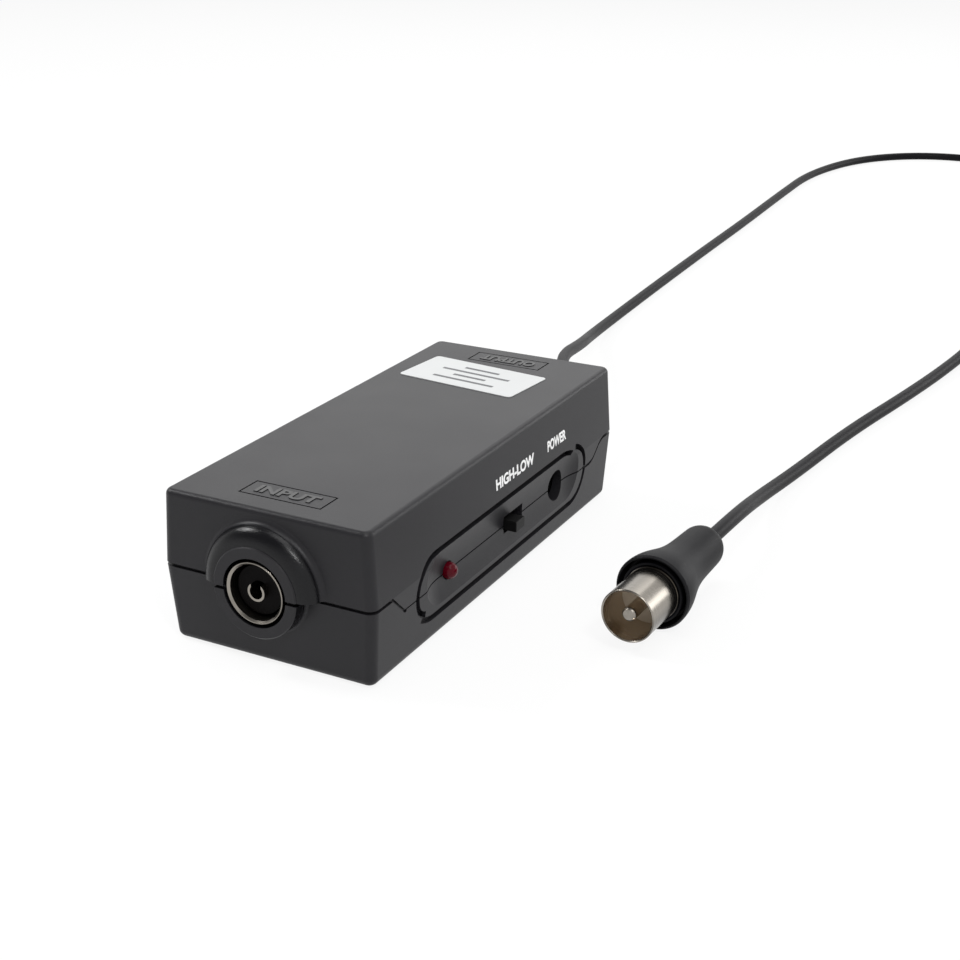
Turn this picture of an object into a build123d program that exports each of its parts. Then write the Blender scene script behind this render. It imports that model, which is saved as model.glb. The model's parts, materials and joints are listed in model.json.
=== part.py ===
from build123d import *
from math import cos, pi, radians, sin, tan
import os

os.makedirs("parts", exist_ok=True)

# In-line aerial amplifier with a fixed lead: a two-part box, a socket in front, a lead behind.
# Millimetres. The origin is the centre of the underside, +Z up. The socket faces -Y, and the
# light, the slide switch and the power jack face +X.

# Box
box_width = 40.5
box_length = 92.0
box_height = 27.0
seam_share = 0.5185  # the halves meet at this share of the height, on the ends and the left side
seam_z = seam_share * box_height
wall = 2.0
corner_radius = 1.6
upper_side_draft = 3.5  # degrees
upper_end_draft = 1.0
lower_side_draft = 4.0
lower_end_draft = 2.5
top_edge_radius = 1.0
bottom_edge_radius = 1.4
seam_groove_height = 0.6
seam_groove_depth = 0.6
running_gap = 0.3

# Collar round the socket: a flat lip, with a bulge behind it on the upper half
collar_reach = 3.0
collar_lip_radius = 7.9
collar_lip_edge = 0.2
collar_top_margin = 2.2  # from the bulge to the top of the box
collar_bulge_radius = box_height - seam_z - collar_top_margin
collar_bulge_reach = 2.75
collar_shoulder = 0.5  # height at which the round flank turns straight
collar_root_radius = 1.0
collar_low_root_radius = 0.5
socket_hole_radius = 5.95

# Side panel: a shallow dish inside two hooked grooves
panel_drop = 3.7  # the seam steps down by this much on the right side
panel_z = seam_z - panel_drop
panel_radius = 5.8
panel_front_y = -26.3  # centres of the panel's round ends
panel_back_y = 27.2
panel_groove_width = 1.1
panel_groove_depth = 1.6
upper_hook_start = 5.0  # before the panel's rear centre, where the upper groove starts to bend
upper_hook_drop = 0.95
upper_hook_inset = 0.1
upper_hook_sweep = 112  # degrees round the front end
upper_tail = (2.9, 4.1)  # its last point, before and below the front centre
lower_tail = (4.2, 1.1)  # the lower groove's first point, before the front centre and up
lower_hook_sweep = 168
dish_depth = 1.0
dish_half_height = 5.3
dish_ends_inset = 2.5
panel_line_height = 0.25
panel_line_depth = 0.4
backing_thickness = 0.8
step_front_top_y = -40.2  # the seam's step, in front of the panel and behind it
step_front_foot_y = -36.3
step_back_foot_y = 35.0
step_back_top_y = 42.2

# Bosses for the screws that join the halves
boss_radius = 3.2
boss_side_inset = 6.85  # from the outside of the box to a boss's middle
boss_end_inset = 8.0
boss_x = box_width / 2 - boss_side_inset
boss_y = box_length / 2 - boss_end_inset

# Circuit board
board_side_gap = 0.65
board_end_gap = 0.8
board_tongue_gap = 0.7
board_tongue_end_gap = 2.0
board_width = box_width - 2 * (wall + backing_thickness + board_side_gap)
board_length = 2 * (boss_y - boss_radius - board_end_gap)
board_thickness = 1.6
board_tongue_width = 2 * (boss_x - boss_radius - board_tongue_gap)
board_tongue_length = box_length / 2 - wall - board_tongue_end_gap - board_length / 2
board_corner_radius = 1.0
jack_axis_height = 4.1  # of the light, the knob and the jack over the board
board_top_z = panel_z - jack_axis_height
board_post_radius = 2.6
board_post_side_inset = 4.3
board_post_front_inset = 6.0
board_post_back_inset = 3.0
lead_hole_radius = 0.6  # holes in the board for component legs
leg_slot_play = 0.2
leg_length_below = 1.1

# Screws that join the halves, and those that hold the board
housing_screw_radius = 1.3
housing_screw_length = 16.0
housing_screw_head_radius = 2.3
housing_screw_head_height = 1.7
housing_screw_seat_z = 3.2
board_screw_radius = 1.1
board_screw_length = 4.2
board_screw_head_radius = 2.1
board_screw_head_height = 1.5
thread_clearance = 0.02
shank_clearance = 0.2
cross_slot_width = 0.6
cross_slot_depth = 0.8

# Aerial socket
socket_outer_radius = 5.35
socket_wall = 0.5
socket_recess = 0.1  # behind the collar's face
socket_length = 15.8
socket_depth = 10.0  # of the slot that takes the plug's sleeve
socket_bevel_share = 0.6  # of the tube's wall, inside its mouth
socket_round_share = 0.2  # of the wall, outside its mouth
insulator_core_radius = 4.2
insulator_core_recess = 1.6  # behind the mouth
contact_outer_radius = 1.6
contact_bore_radius = 1.2
contact_recess = 0.5
contact_slit_width = 1.9
contact_slit_length = 6.5
contact_stem_radius = 0.9
contact_leg_gap = 1.2  # from the sleeve's rear to the middle of the contact's leg
leg_thickness = 0.8
bracket_thickness = 0.5
bracket_length = 5.0
bracket_wall_gap = 2.6
bracket_foot_reach = 3.0
assembly_gap = 0.05

# Light
light_y = -20.4
light_radius = 1.5
light_tip_reach = 0.55  # beyond the widest width of the box
light_length = 5.6
light_flange_radius = 1.9
light_flange_thickness = 1.0
light_lead_size = 0.5
light_lead_pitch = 2.54
light_bend_gap = 1.8  # from the flange to the bend of the legs
light_hole_gap = 0.15

# Slide switch
switch_travel = 3.5
knob_length = 3.4
knob_height = 2.0
knob_reach = 1.2
slot_height = 3.2
slot_centre_y = 3.95
carrier_length = 5.6
carrier_depth = 3.4
carrier_height = 3.8
switch_sheet = 0.4
frame_tab_width = 1.5
switch_front_gap = 0.3  # between the frame and the backing of the wall
switch_base_thickness = 1.2
bridge_thickness = 0.3
switch_pin_pitch = 3.0
switch_pin_size = 0.5
switch_pin_head_radius = 0.7
switch_pin_head_height = 0.2

# Power jack
jack_y = 21.6
jack_mouth_radius = 3.0
jack_width = 9.0
jack_depth = 10.0
jack_bore_radius = 2.9
jack_bore_depth = 8.6
jack_pin_radius = 1.05
jack_pin_length = 7.4
jack_pin_head_radius = 1.5
jack_pin_head_height = 0.4
jack_spring_thickness = 0.3
jack_spring_width = 2.0
jack_terminal_width = 2.2
jack_side_leg_inset = 4.0  # of the side terminal and the spring, from the jack's rear
jack_spring_leg_inset = 2.0
jack_spring_rise = 1.1
jack_top_cut = 0.3
jack_top_radius = 1.2

# Components
chip_size = (5.0, 4.0, 1.5)
chip_spot = (-1.0, -14.0)
chip_pin_pitch = 1.27
chip_pin_width = 0.4
chip_pin_reach = 1.0
regulator_size = (4.5, 2.5, 1.5)
regulator_spot = (2.5, 16.0)
capacitor_radius = 3.15
capacitor_height = 7.0
capacitor_leg_pitch = 2.5
capacitor_spot = (-4.5, 20.0)
choke_size = (6.0, 6.0, 3.0)
choke_spot = (-7.5, 11.0)
chip_capacitor_size = (2.0, 1.25, 0.9)
resistor_size = (2.0, 1.25, 0.5)
chip_capacitor_spots = [(-7, -20), (4.5, -20), (-1, -22), (6, -14), (-7.5, -12), (5, 4), (-2, 8)]
resistor_spots = [(-7, -16), (4.5, -9), (-1, -9), (-8, 3), (-3.5, 3), (8, 12), (-9, 18)]

# Label on the top
label_width = 25.7
label_length = 13.4
label_thickness = 0.12
label_centre = (-1.8, 27.6)
label_turn = -5.7
label_corner_radius = 0.8

# Thin frames sunk into the top round the two legends
legend_frame_width = 15.8
legend_frame_length = 5.3
legend_frame_line = 0.3
legend_frame_depth = 0.2
legend_front_y = -38.4
legend_back_y = 39.4

# Lead and its strain relief
lead_diameter = 2.8
lead_radius = lead_diameter / 2
bushing_hole_radius = 2.5
bushing_neck_radius = 2.45
bushing_flange_radius = 3.7
bushing_inner_flange = 1.6
bushing_outer_flange = 1.3
bushing_play = 0.25  # between the inner flange and the sloping wall
bushing_reach = 11.0
bushing_end_radius = 1.9
bushing_groove_count = 3
bushing_groove_start = 3.2  # from the wall to the first groove
bushing_groove_pitch = 2.2
bushing_groove_width = 0.8
bushing_skin = 0.35  # left round the lead under the grooves
bushing_rib_width = 1.1
bore_clearance = 0.02
core_radius = 0.8
core_bend_radius = 3.2
core_leg_inset = 16.0  # from the back of the box
braid_wire_radius = 0.5
braid_skin = 0.35
braid_leg_inset = 9.8
braid_reach = 2.0
jacket_overlap = 1.1  # from the braid's leg to the end of the jacket

# Plug
plug_tip = (49.75, -15.8)
plug_axis_z = 6.85
plug_yaw = 2.5  # degrees, clockwise from +Y seen from above
plug_sleeve_radius = 4.75
plug_sleeve_wall = 0.35
plug_sleeve_reach = 9.65
plug_collar_radius = 5.15
plug_collar_length = 3.4
plug_pin_radius = 1.2
plug_pin_recess = 0.55
plug_pin_bevel = 0.25
plug_insulator_depth = 7.5
plug_insulator_length = 4.0
boot_flare_radius = 6.75
boot_length = 23.85
boot_rim_width = 0.45
boot_hub_radius = 5.45  # of the ring that holds the sleeve, inside the hollow flare
boot_recess_depth = 3.0
boot_recess_floor_radius = 5.95
boot_shoulder_at = 3.1  # from the flare's face
boot_shoulder_radius = 6.5
boot_neck_at = 7.15
boot_neck_radius = 5.48
boot_waist_at = 11.9
boot_waist_radius = 4.56
boot_barrel_at = 16.7
boot_barrel_radius = 4.24
boot_round_at = 21.0
boot_round_radius = 4.09
boot_end_radius = 1.9

# The lead's route. The first stretch leaves the bushing, falls to the surface and runs back.
coil_lift = 0.85  # over the surface, on the tie
coil_turn_gap = 0.65
coil_entry = (68.5, 208.0)  # where the outermost turn begins and ends, seen from above
coil_entry_z = lead_radius + coil_lift
coil_exit_z = coil_entry_z + lead_diameter + coil_turn_gap
plug_length = plug_sleeve_reach + boot_length
plug_way = (sin(radians(plug_yaw)), cos(radians(plug_yaw)), 0)
lead_end_run = 14.0  # the straight run into the plug
plug_rear = (*[plug_tip[way] + plug_length * plug_way[way] for way in (0, 1)], plug_axis_z)
plug_run_start = (*[plug_rear[way] + lead_end_run * plug_way[way] for way in (0, 1)], plug_axis_z)
lead_exit_y = box_length / 2 + bushing_reach
route_out = [
    (0.0, lead_exit_y, seam_z),
    (0.0, lead_exit_y + 11.0, seam_z),
    (-10.5, 87.0, 12.8),
    (-16.5, 112.0, 8.0),
    (-23.5, 134.0, 3.2),
    (-26.9, 156.0, lead_radius),
    (-28.8, 189.0, lead_radius),
    (-31.2, 237.0, lead_radius),
    (-33.2, 285.0, lead_radius),
    (-36.0, 335.0, lead_radius),
    (-38.0, 380.0, lead_radius),
    (-28.0, 420.0, lead_radius),
    (-4.0, 441.0, lead_radius),
    (28.0, 438.0, lead_radius),
    (50.0, 412.0, lead_radius),
    (59.0, 375.0, lead_radius),
    (63.5, 335.0, lead_radius),
    (65.5, 300.0, lead_radius),
    (66.0, 270.0, lead_radius),
    (coil_entry[0], 238.0, coil_entry_z),
    (coil_entry[0], coil_entry[1] + lead_diameter, coil_entry_z),
]
# The second stretch comes off the coil's upper layer and runs to the plug.
route_back = [
    (coil_entry[0], coil_entry[1] - lead_diameter, coil_exit_z),
    (coil_entry[0], 192.0, coil_exit_z),
    (66.4, 174.0, lead_radius + 0.5),
    (63.9, 154.0, lead_radius),
    (60.3, 130.0, lead_radius),
    (54.9, 100.0, lead_radius),
    (51.5, 70.4, lead_radius),
    (50.3, 50.0, 3.2),
    plug_run_start,
    plug_rear,
]

# Coil of the length that is put away
coil_half_turns_down = 4
climb_steps = 12
climb_ease = 0.5  # how hard the climb's ends hold their direction
coil_outer_radius = 20.3  # to the middle of the outermost turn
tie_thickness = 0.5
tie_width = 4.0
tie_gap = 0.3

# Places that follow from the sizes above
front_y = -box_length / 2
back_y = box_length / 2
side_x = box_width / 2
board_under_z = board_top_z - board_thickness
leg_foot_z = board_under_z - leg_length_below
boss_spots = [(x, y) for x in (-boss_x, boss_x) for y in (-boss_y, boss_y)]
board_post_x = board_width / 2 - board_post_side_inset
board_post_ys = (board_post_front_inset - board_length / 2, board_length / 2 - board_post_back_inset)
board_screw_spots = [(x, y) for x in (-board_post_x, board_post_x) for y in board_post_ys]
panel_face_x = side_x - tan(radians(lower_side_draft)) * (seam_z - panel_z)
panel_inner_x = panel_face_x - wall
backing_x = panel_inner_x - backing_thickness
step_x = backing_x - 0.2
groove_floor_x = side_x - panel_groove_depth
dish_radius = (dish_half_height**2 + dish_depth**2) / (2 * dish_depth)
dish_axis_x = panel_face_x - dish_depth + dish_radius
dish_bottom_x = panel_face_x - dish_depth
socket_mouth_y = front_y - collar_reach + socket_recess
socket_bore_radius = socket_outer_radius - socket_wall
insulator_front_y = socket_mouth_y + socket_depth
socket_rear_y = socket_mouth_y + socket_length
slot_length = knob_length + switch_travel + 2 * running_gap
knob_rest_y = slot_centre_y - switch_travel / 2
knob_tip_x = side_x + knob_reach
frame_face_x = backing_x - switch_front_gap
jack_face_x = backing_x - switch_front_gap


def drafted_half(inset, end_z, side_draft, end_draft):
    """One half of the box's outer form, drawn in by inset, from the seam to end_z."""
    drop = abs(end_z - seam_z)
    width = box_width - 2 * inset
    length = box_length - 2 * inset
    radius = max(corner_radius - inset, 0.5)
    end_width = width - 2 * drop * tan(radians(side_draft))
    end_length = length - 2 * drop * tan(radians(end_draft))
    with BuildPart() as half:
        with BuildSketch(Plane.XY.offset(seam_z)):
            RectangleRounded(width, length, radius)
        with BuildSketch(Plane.XY.offset(end_z)):
            RectangleRounded(end_width, end_length, radius)
        loft(ruled=True)
    return half.part


def collar_half(up):
    """Half of the collar, turned about the socket's axis. Only the upper half has the bulge."""
    turn_axis = Axis((0, 0, seam_z), (0, -1 if up else 1, 0))
    face_y = front_y - collar_reach
    root_y = front_y + wall
    bulge_width = collar_bulge_radius - collar_lip_radius
    with BuildPart() as half:
        with BuildSketch(Plane.XY.offset(seam_z)):
            with BuildLine():
                Polyline((0, root_y), (0, face_y), (collar_lip_radius - collar_lip_edge, face_y))
                Line(
                    (collar_lip_radius - collar_lip_edge, face_y),
                    (collar_lip_radius, face_y + collar_lip_edge),
                )
                if up:
                    Line(
                        (collar_lip_radius, face_y + collar_lip_edge),
                        (collar_lip_radius, front_y - collar_bulge_reach),
                    )
                    EllipticalCenterArc(
                        (collar_lip_radius, front_y - collar_shoulder),
                        bulge_width,
                        collar_bulge_reach - collar_shoulder,
                        start_angle=270,
                        arc_size=90,
                    )
                    Polyline(
                        (collar_bulge_radius, front_y - collar_shoulder),
                        (collar_bulge_radius, root_y),
                        (0, root_y),
                    )
                else:
                    Polyline(
                        (collar_lip_radius, face_y + collar_lip_edge),
                        (collar_lip_radius, root_y),
                        (0, root_y),
                    )
            make_face()
        revolve(axis=turn_axis, revolution_arc=180)
    return half.part


def outer_half(up):
    """One half of the outside, with its collar blended into the front and its rim rounded."""
    end_z = box_height if up else 0
    side_draft = upper_side_draft if up else lower_side_draft
    end_draft = upper_end_draft if up else lower_end_draft
    rim_radius = top_edge_radius if up else bottom_edge_radius
    collar_radius = collar_bulge_radius if up else collar_lip_radius
    with BuildPart() as outside:
        add(drafted_half(0, end_z, side_draft, end_draft))
        end_face = outside.faces().filter_by(Plane.XY).sort_by(Axis.Z)[-1 if up else 0]
        fillet(end_face.edges(), rim_radius)
        add(collar_half(up))
        root = outside.edges().filter_by(
            lambda edge: abs(edge.center().Y - front_y) < collar_shoulder - 0.1
            and edge.bounding_box().size.X > 2 * collar_radius - 0.5
            and edge.bounding_box().size.Z > collar_radius / 2
        )
        fillet(root, collar_root_radius if up else collar_low_root_radius)
    return outside.part


def step_outline(drop):
    """The side seam's path in Y and Z, lowered by drop, from its front step to its back one."""
    foot = panel_z - drop
    top = seam_z - drop
    with BuildLine() as path:
        Polyline((step_front_top_y, top), (step_front_foot_y, foot), (step_back_foot_y, foot))
        Spline((step_back_foot_y, foot), (step_back_top_y, top), tangents=[(1, 0), (1, 0)])
    return path.edges()


upper_outside = outer_half(True)
lower_outside = outer_half(False)
upper_cavity = drafted_half(wall, box_height - wall, upper_side_draft, upper_end_draft)
lower_cavity = drafted_half(wall, wall, lower_side_draft, lower_end_draft)

# The stretch of the right wall, under the seam, that belongs to the upper half.
with BuildPart() as side_step:
    with BuildSketch(Plane.YZ.offset(step_x)):
        with BuildLine():
            add(step_outline(0))
            Line((step_back_top_y, seam_z), (step_front_top_y, seam_z))
        make_face()
    extrude(amount=box_width / 4)

# The groove along that stepped seam. It thins to a line before the panel and stops there.
with BuildPart() as side_seam_groove:
    with BuildSketch(Plane.YZ.offset(side_x - seam_groove_depth)):
        with BuildLine():
            add(step_outline(seam_groove_height))
            Line((step_back_top_y, seam_z - seam_groove_height), (step_back_top_y, seam_z))
            Line((step_back_top_y, seam_z), (step_front_top_y, seam_z))
            Line((step_front_top_y, seam_z), (step_front_top_y, seam_z - seam_groove_height))
        make_face()
    extrude(amount=box_width / 4)
    with BuildSketch(Plane.YZ.offset(side_x - seam_groove_depth)):
        with Locations(((panel_front_y + panel_back_y) / 2, panel_z)):
            SlotOverall(panel_back_y - panel_front_y + 2 * panel_radius, 2 * panel_radius)
        thin_start_y = step_front_foot_y + seam_groove_height
        with Locations((thin_start_y, panel_z - panel_line_height)):
            Rectangle(panel_back_y - thin_start_y, seam_groove_height, align=(Align.MIN, Align.MAX))
    extrude(amount=box_width / 4, mode=Mode.SUBTRACT)

# The groove round the seam on the ends and the sides.
with BuildPart() as seam_groove:
    with BuildSketch(Plane.XY.offset(seam_z - seam_groove_height)):
        Rectangle(box_width + 4, box_length + 4)
        RectangleRounded(
            box_width - 2 * seam_groove_depth,
            box_length - 2 * seam_groove_depth,
            corner_radius,
            mode=Mode.SUBTRACT,
        )
        with Locations((0, front_y)):
            Rectangle(2 * collar_lip_radius, 2 * wall, mode=Mode.SUBTRACT)
    extrude(amount=seam_groove_height)

# The same groove over the collar's side and face.
with BuildPart() as collar_groove:
    with BuildSketch(Plane.XY.offset(seam_z - seam_groove_height)):
        with Locations((0, front_y - collar_reach / 2)):
            Rectangle(2 * collar_lip_radius + 2, collar_reach + 2)
        with Locations((0, front_y + wall / 2)):
            Rectangle(
                2 * (collar_lip_radius - seam_groove_depth),
                2 * (collar_reach - seam_groove_depth) + wall,
                mode=Mode.SUBTRACT,
            )
    extrude(amount=seam_groove_height)

# The dish of the side panel: a round-ended trough.
with BuildPart() as panel_dish:
    dish_front_y = panel_front_y + dish_ends_inset
    dish_back_y = panel_back_y - dish_ends_inset
    with Locations(Plane.XZ.offset(-(dish_front_y + dish_back_y) / 2)):
        with Locations((dish_axis_x, panel_z)):
            Cylinder(dish_radius, dish_back_y - dish_front_y)
    for end_y in (dish_front_y, dish_back_y):
        with Locations((dish_axis_x, end_y, panel_z)):
            Sphere(dish_radius)

# Two hooked grooves whose ends pass each other.
with BuildPart() as panel_grooves:
    with BuildSketch(Plane.YZ.offset(groove_floor_x)):
        top_z = panel_z + panel_radius
        with BuildLine():
            TangentArc(
                (panel_back_y - upper_hook_start, top_z),
                (panel_back_y - upper_hook_inset, top_z - upper_hook_drop),
                tangent=(1, 0),
            )
            Line((panel_back_y - upper_hook_start, top_z), (panel_front_y, top_z))
            bend = CenterArc((panel_front_y, panel_z), panel_radius, 90, upper_hook_sweep)
            TangentArc(
                bend @ 1,
                (panel_front_y - upper_tail[0], panel_z - upper_tail[1]),
                tangent=bend % 1,
            )
        trace(line_width=panel_groove_width)
    extrude(amount=box_width / 4)
    with BuildSketch(Plane.YZ.offset(groove_floor_x)):
        low_z = panel_z - panel_radius
        with BuildLine():
            TangentArc(
                (panel_front_y, low_z),
                (panel_front_y - lower_tail[0], low_z + lower_tail[1]),
                tangent=(-1, 0),
            )
            Line((panel_front_y, low_z), (panel_back_y, low_z))
            CenterArc((panel_back_y, panel_z), panel_radius, -90, lower_hook_sweep)
        trace(line_width=panel_groove_width)
    extrude(amount=box_width / 4)

# Openings in the right wall for the light, the knob and the jack.
with BuildPart() as side_openings:
    with BuildSketch(Plane.YZ.offset(backing_x - 1)):
        with Locations((light_y, panel_z)):
            Circle(light_radius + light_hole_gap)
        with Locations((slot_centre_y, panel_z)):
            Rectangle(slot_length, slot_height)
        with Locations((jack_y, panel_z)):
            Circle(jack_mouth_radius)
    extrude(amount=box_width / 4)

# The hair line where the halves meet across the dish.
with BuildPart() as panel_line:
    with BuildSketch(Plane.YZ.offset(dish_bottom_x - panel_line_depth)):
        with Locations(((panel_front_y + panel_back_y) / 2, panel_z - panel_line_height / 2)):
            Rectangle(panel_back_y - panel_front_y + 2 * panel_radius, panel_line_height)
    extrude(amount=box_width / 4)

# Openings in both ends, shared by the halves.
with BuildPart() as end_openings:
    with BuildSketch(Plane.XZ.offset(-front_y - wall - 1)):
        with Locations((0, seam_z)):
            Circle(socket_hole_radius)
    extrude(amount=wall + collar_reach + 2)
    with BuildSketch(Plane.XZ.offset(-back_y - 1)):
        with Locations((0, seam_z)):
            Circle(bushing_hole_radius)
    extrude(amount=wall + 2)

top_pilot_depth = housing_screw_seat_z + housing_screw_length - seam_z + 1.0

with BuildPart() as top_shell:
    add(lower_outside)
    add(side_step.part, mode=Mode.INTERSECT)
    add(upper_outside)
    add(upper_cavity, mode=Mode.SUBTRACT)
    with BuildSketch(Plane.YZ.offset(panel_inner_x)):
        with Locations((0, (panel_z + seam_z) / 2)):
            Rectangle(box_length - 2 * wall - 2, seam_z - panel_z)
    extrude(amount=-3, mode=Mode.SUBTRACT)
    with BuildSketch(Plane.YZ.offset(backing_x)):
        with Locations(((panel_front_y + panel_back_y) / 2, panel_z + panel_radius / 2)):
            Rectangle(panel_back_y - panel_front_y, panel_radius)
    extrude(amount=wall)
    with BuildSketch(Plane.XY.offset(seam_z)):
        with Locations(*boss_spots):
            Circle(boss_radius)
    extrude(amount=box_height - wall / 2 - seam_z)
    with BuildSketch(Plane.XY.offset(seam_z)):
        with Locations(*boss_spots):
            Circle(housing_screw_radius + thread_clearance)
    extrude(amount=top_pilot_depth, mode=Mode.SUBTRACT)
    for cutter in (panel_dish, panel_grooves, side_openings, end_openings):
        add(cutter.part, mode=Mode.SUBTRACT)
    with BuildSketch(Plane.XY.offset(box_height - legend_frame_depth)):
        with Locations((0, legend_front_y), (0, legend_back_y)):
            Rectangle(legend_frame_width, legend_frame_length)
            Rectangle(
                legend_frame_width - 2 * legend_frame_line,
                legend_frame_length - 2 * legend_frame_line,
                mode=Mode.SUBTRACT,
            )
    extrude(amount=legend_frame_depth + 1, mode=Mode.SUBTRACT)
top_shell.part.label = "top_shell"
export_step(top_shell.part, "parts/top_shell.step")

bottom_pilot_z = board_under_z - board_screw_length + board_thickness - 0.2
with BuildPart() as bottom_shell:
    add(lower_outside)
    add(side_step.part, mode=Mode.SUBTRACT)
    add(lower_cavity, mode=Mode.SUBTRACT)
    with BuildSketch(Plane.YZ.offset(backing_x)):
        with Locations(((panel_front_y + panel_back_y) / 2, panel_z - panel_radius / 2)):
            Rectangle(panel_back_y - panel_front_y, panel_radius)
    extrude(amount=wall)
    with BuildSketch(Plane.XY.offset(wall / 2)):
        with Locations(*boss_spots):
            Circle(boss_radius)
    extrude(amount=seam_z - wall / 2)
    with BuildSketch(Plane.XY.offset(wall / 2)):
        with Locations(*board_screw_spots):
            Circle(board_post_radius)
    extrude(amount=board_under_z - wall / 2)
    with BuildSketch(Plane.XY):
        with Locations(*boss_spots):
            Circle(housing_screw_radius + shank_clearance)
    extrude(amount=seam_z, mode=Mode.SUBTRACT)
    with BuildSketch(Plane.XY):
        with Locations(*boss_spots):
            Circle(housing_screw_head_radius + running_gap)
    extrude(amount=housing_screw_seat_z, mode=Mode.SUBTRACT)
    with BuildSketch(Plane.XY.offset(board_under_z)):
        with Locations(*board_screw_spots):
            Circle(board_screw_radius + thread_clearance)
    extrude(amount=bottom_pilot_z - board_under_z, mode=Mode.SUBTRACT)
    for cutter in (panel_dish, panel_grooves, side_openings, end_openings):
        add(cutter.part, mode=Mode.SUBTRACT)
    for cutter in (seam_groove, side_seam_groove, collar_groove, panel_line):
        add(cutter.part, mode=Mode.SUBTRACT)
bottom_shell.part.label = "bottom_shell"
export_step(bottom_shell.part, "parts/bottom_shell.step")


def screw_set(spots, seat_z, head_up, radius, length, head_radius, head_height):
    """Identical pan-head screws with cross slots, seated at seat_z."""
    head_way = 1 if head_up else -1
    with BuildPart() as screws:
        with BuildSketch(Plane.XY.offset(seat_z)):
            with Locations(*spots):
                Circle(head_radius)
        extrude(amount=head_way * head_height)
        top_edges = screws.faces().filter_by(Plane.XY).group_by(Axis.Z)[-1 if head_up else 0].edges()
        fillet(top_edges, head_height / 3)
        with BuildSketch(Plane.XY.offset(seat_z + head_way * head_height)):
            with Locations(*spots):
                Rectangle(head_radius * 1.3, cross_slot_width)
                Rectangle(cross_slot_width, head_radius * 1.3)
        extrude(amount=-head_way * cross_slot_depth, mode=Mode.SUBTRACT)
        with BuildSketch(Plane.XY.offset(seat_z)):
            with Locations(*spots):
                Circle(radius)
        extrude(amount=-head_way * length)
        tips = screws.faces().filter_by(Plane.XY).group_by(Axis.Z)[0 if head_up else -1].edges()
        chamfer(tips, radius / 3)
    return screws.part


housing_screws = screw_set(
    boss_spots,
    housing_screw_seat_z,
    False,
    housing_screw_radius,
    housing_screw_length,
    housing_screw_head_radius,
    housing_screw_head_height,
)
housing_screws.label = "housing_screws"
export_step(housing_screws, "parts/housing_screws.step")

board_screws = screw_set(
    board_screw_spots,
    board_top_z,
    True,
    board_screw_radius,
    board_screw_length,
    board_screw_head_radius,
    board_screw_head_height,
)
board_screws.label = "board_screws"
export_step(board_screws, "parts/board_screws.step")

# Places of every leg that passes through the board
light_flange_x = side_x + light_tip_reach - light_length
light_bend_x = light_flange_x - light_bend_gap
light_leg_spots = [(light_bend_x, light_y + way * light_lead_pitch / 2) for way in (-1, 1)]
contact_leg_spot = (0, socket_rear_y + contact_leg_gap)
switch_centre_x = frame_face_x - switch_sheet - carrier_depth / 2 - running_gap
switch_pin_spots = [(switch_centre_x, slot_centre_y + way * switch_pin_pitch) for way in (-1, 0, 1)]
frame_half_length = carrier_length / 2 + switch_travel / 2 + running_gap + switch_sheet
frame_depth = carrier_depth + 2 * running_gap + 2 * switch_sheet
frame_tab_spots = [
    (switch_centre_x, slot_centre_y + way * (frame_half_length - switch_sheet / 2)) for way in (-1, 1)
]
jack_back_x = jack_face_x - jack_depth
jack_rear_spot = (jack_back_x - jack_spring_thickness / 2, jack_y)
jack_side_spot = (jack_back_x + jack_side_leg_inset, jack_y + jack_width / 2 + jack_spring_thickness / 2)
jack_spring_spot = (jack_back_x + jack_spring_leg_inset, jack_y)
capacitor_leg_spots = [
    (capacitor_spot[0], capacitor_spot[1] + way * capacitor_leg_pitch / 2) for way in (-1, 1)
]
core_spot = (0, back_y - core_leg_inset)
braid_spot = (0, back_y - braid_leg_inset)
round_holes = light_leg_spots + switch_pin_spots + [contact_leg_spot] + capacitor_leg_spots
round_holes += [braid_spot]

with BuildPart() as circuit_board:
    with BuildSketch(Plane.XY.offset(board_under_z)) as board_outline:
        Rectangle(board_width, board_length)
        with Locations((0, -board_length / 2), (0, board_length / 2)):
            Rectangle(board_tongue_width, 2 * board_tongue_length)
        fillet(board_outline.vertices().group_by(Axis.Y)[0], board_corner_radius)
        fillet(board_outline.vertices().group_by(Axis.Y)[-1], board_corner_radius)
        with Locations(*round_holes):
            Circle(lead_hole_radius, mode=Mode.SUBTRACT)
        with Locations(core_spot):
            Circle(core_radius + 0.1, mode=Mode.SUBTRACT)
        with Locations(*board_screw_spots):
            Circle(board_screw_radius + shank_clearance, mode=Mode.SUBTRACT)
        with Locations(*frame_tab_spots):
            Rectangle(
                frame_tab_width + 2 * leg_slot_play, switch_sheet + leg_slot_play, mode=Mode.SUBTRACT
            )
        with Locations(jack_rear_spot):
            Rectangle(
                jack_spring_thickness + leg_slot_play,
                jack_terminal_width + leg_slot_play,
                mode=Mode.SUBTRACT,
            )
        with Locations(jack_side_spot):
            Rectangle(
                jack_terminal_width + leg_slot_play,
                jack_spring_thickness + leg_slot_play,
                mode=Mode.SUBTRACT,
            )
        with Locations(jack_spring_spot):
            Rectangle(
                jack_spring_thickness + leg_slot_play,
                jack_spring_width + leg_slot_play,
                mode=Mode.SUBTRACT,
            )
    extrude(amount=board_thickness)
circuit_board.part.label = "circuit_board"
export_step(circuit_board.part, "parts/circuit_board.step")

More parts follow.
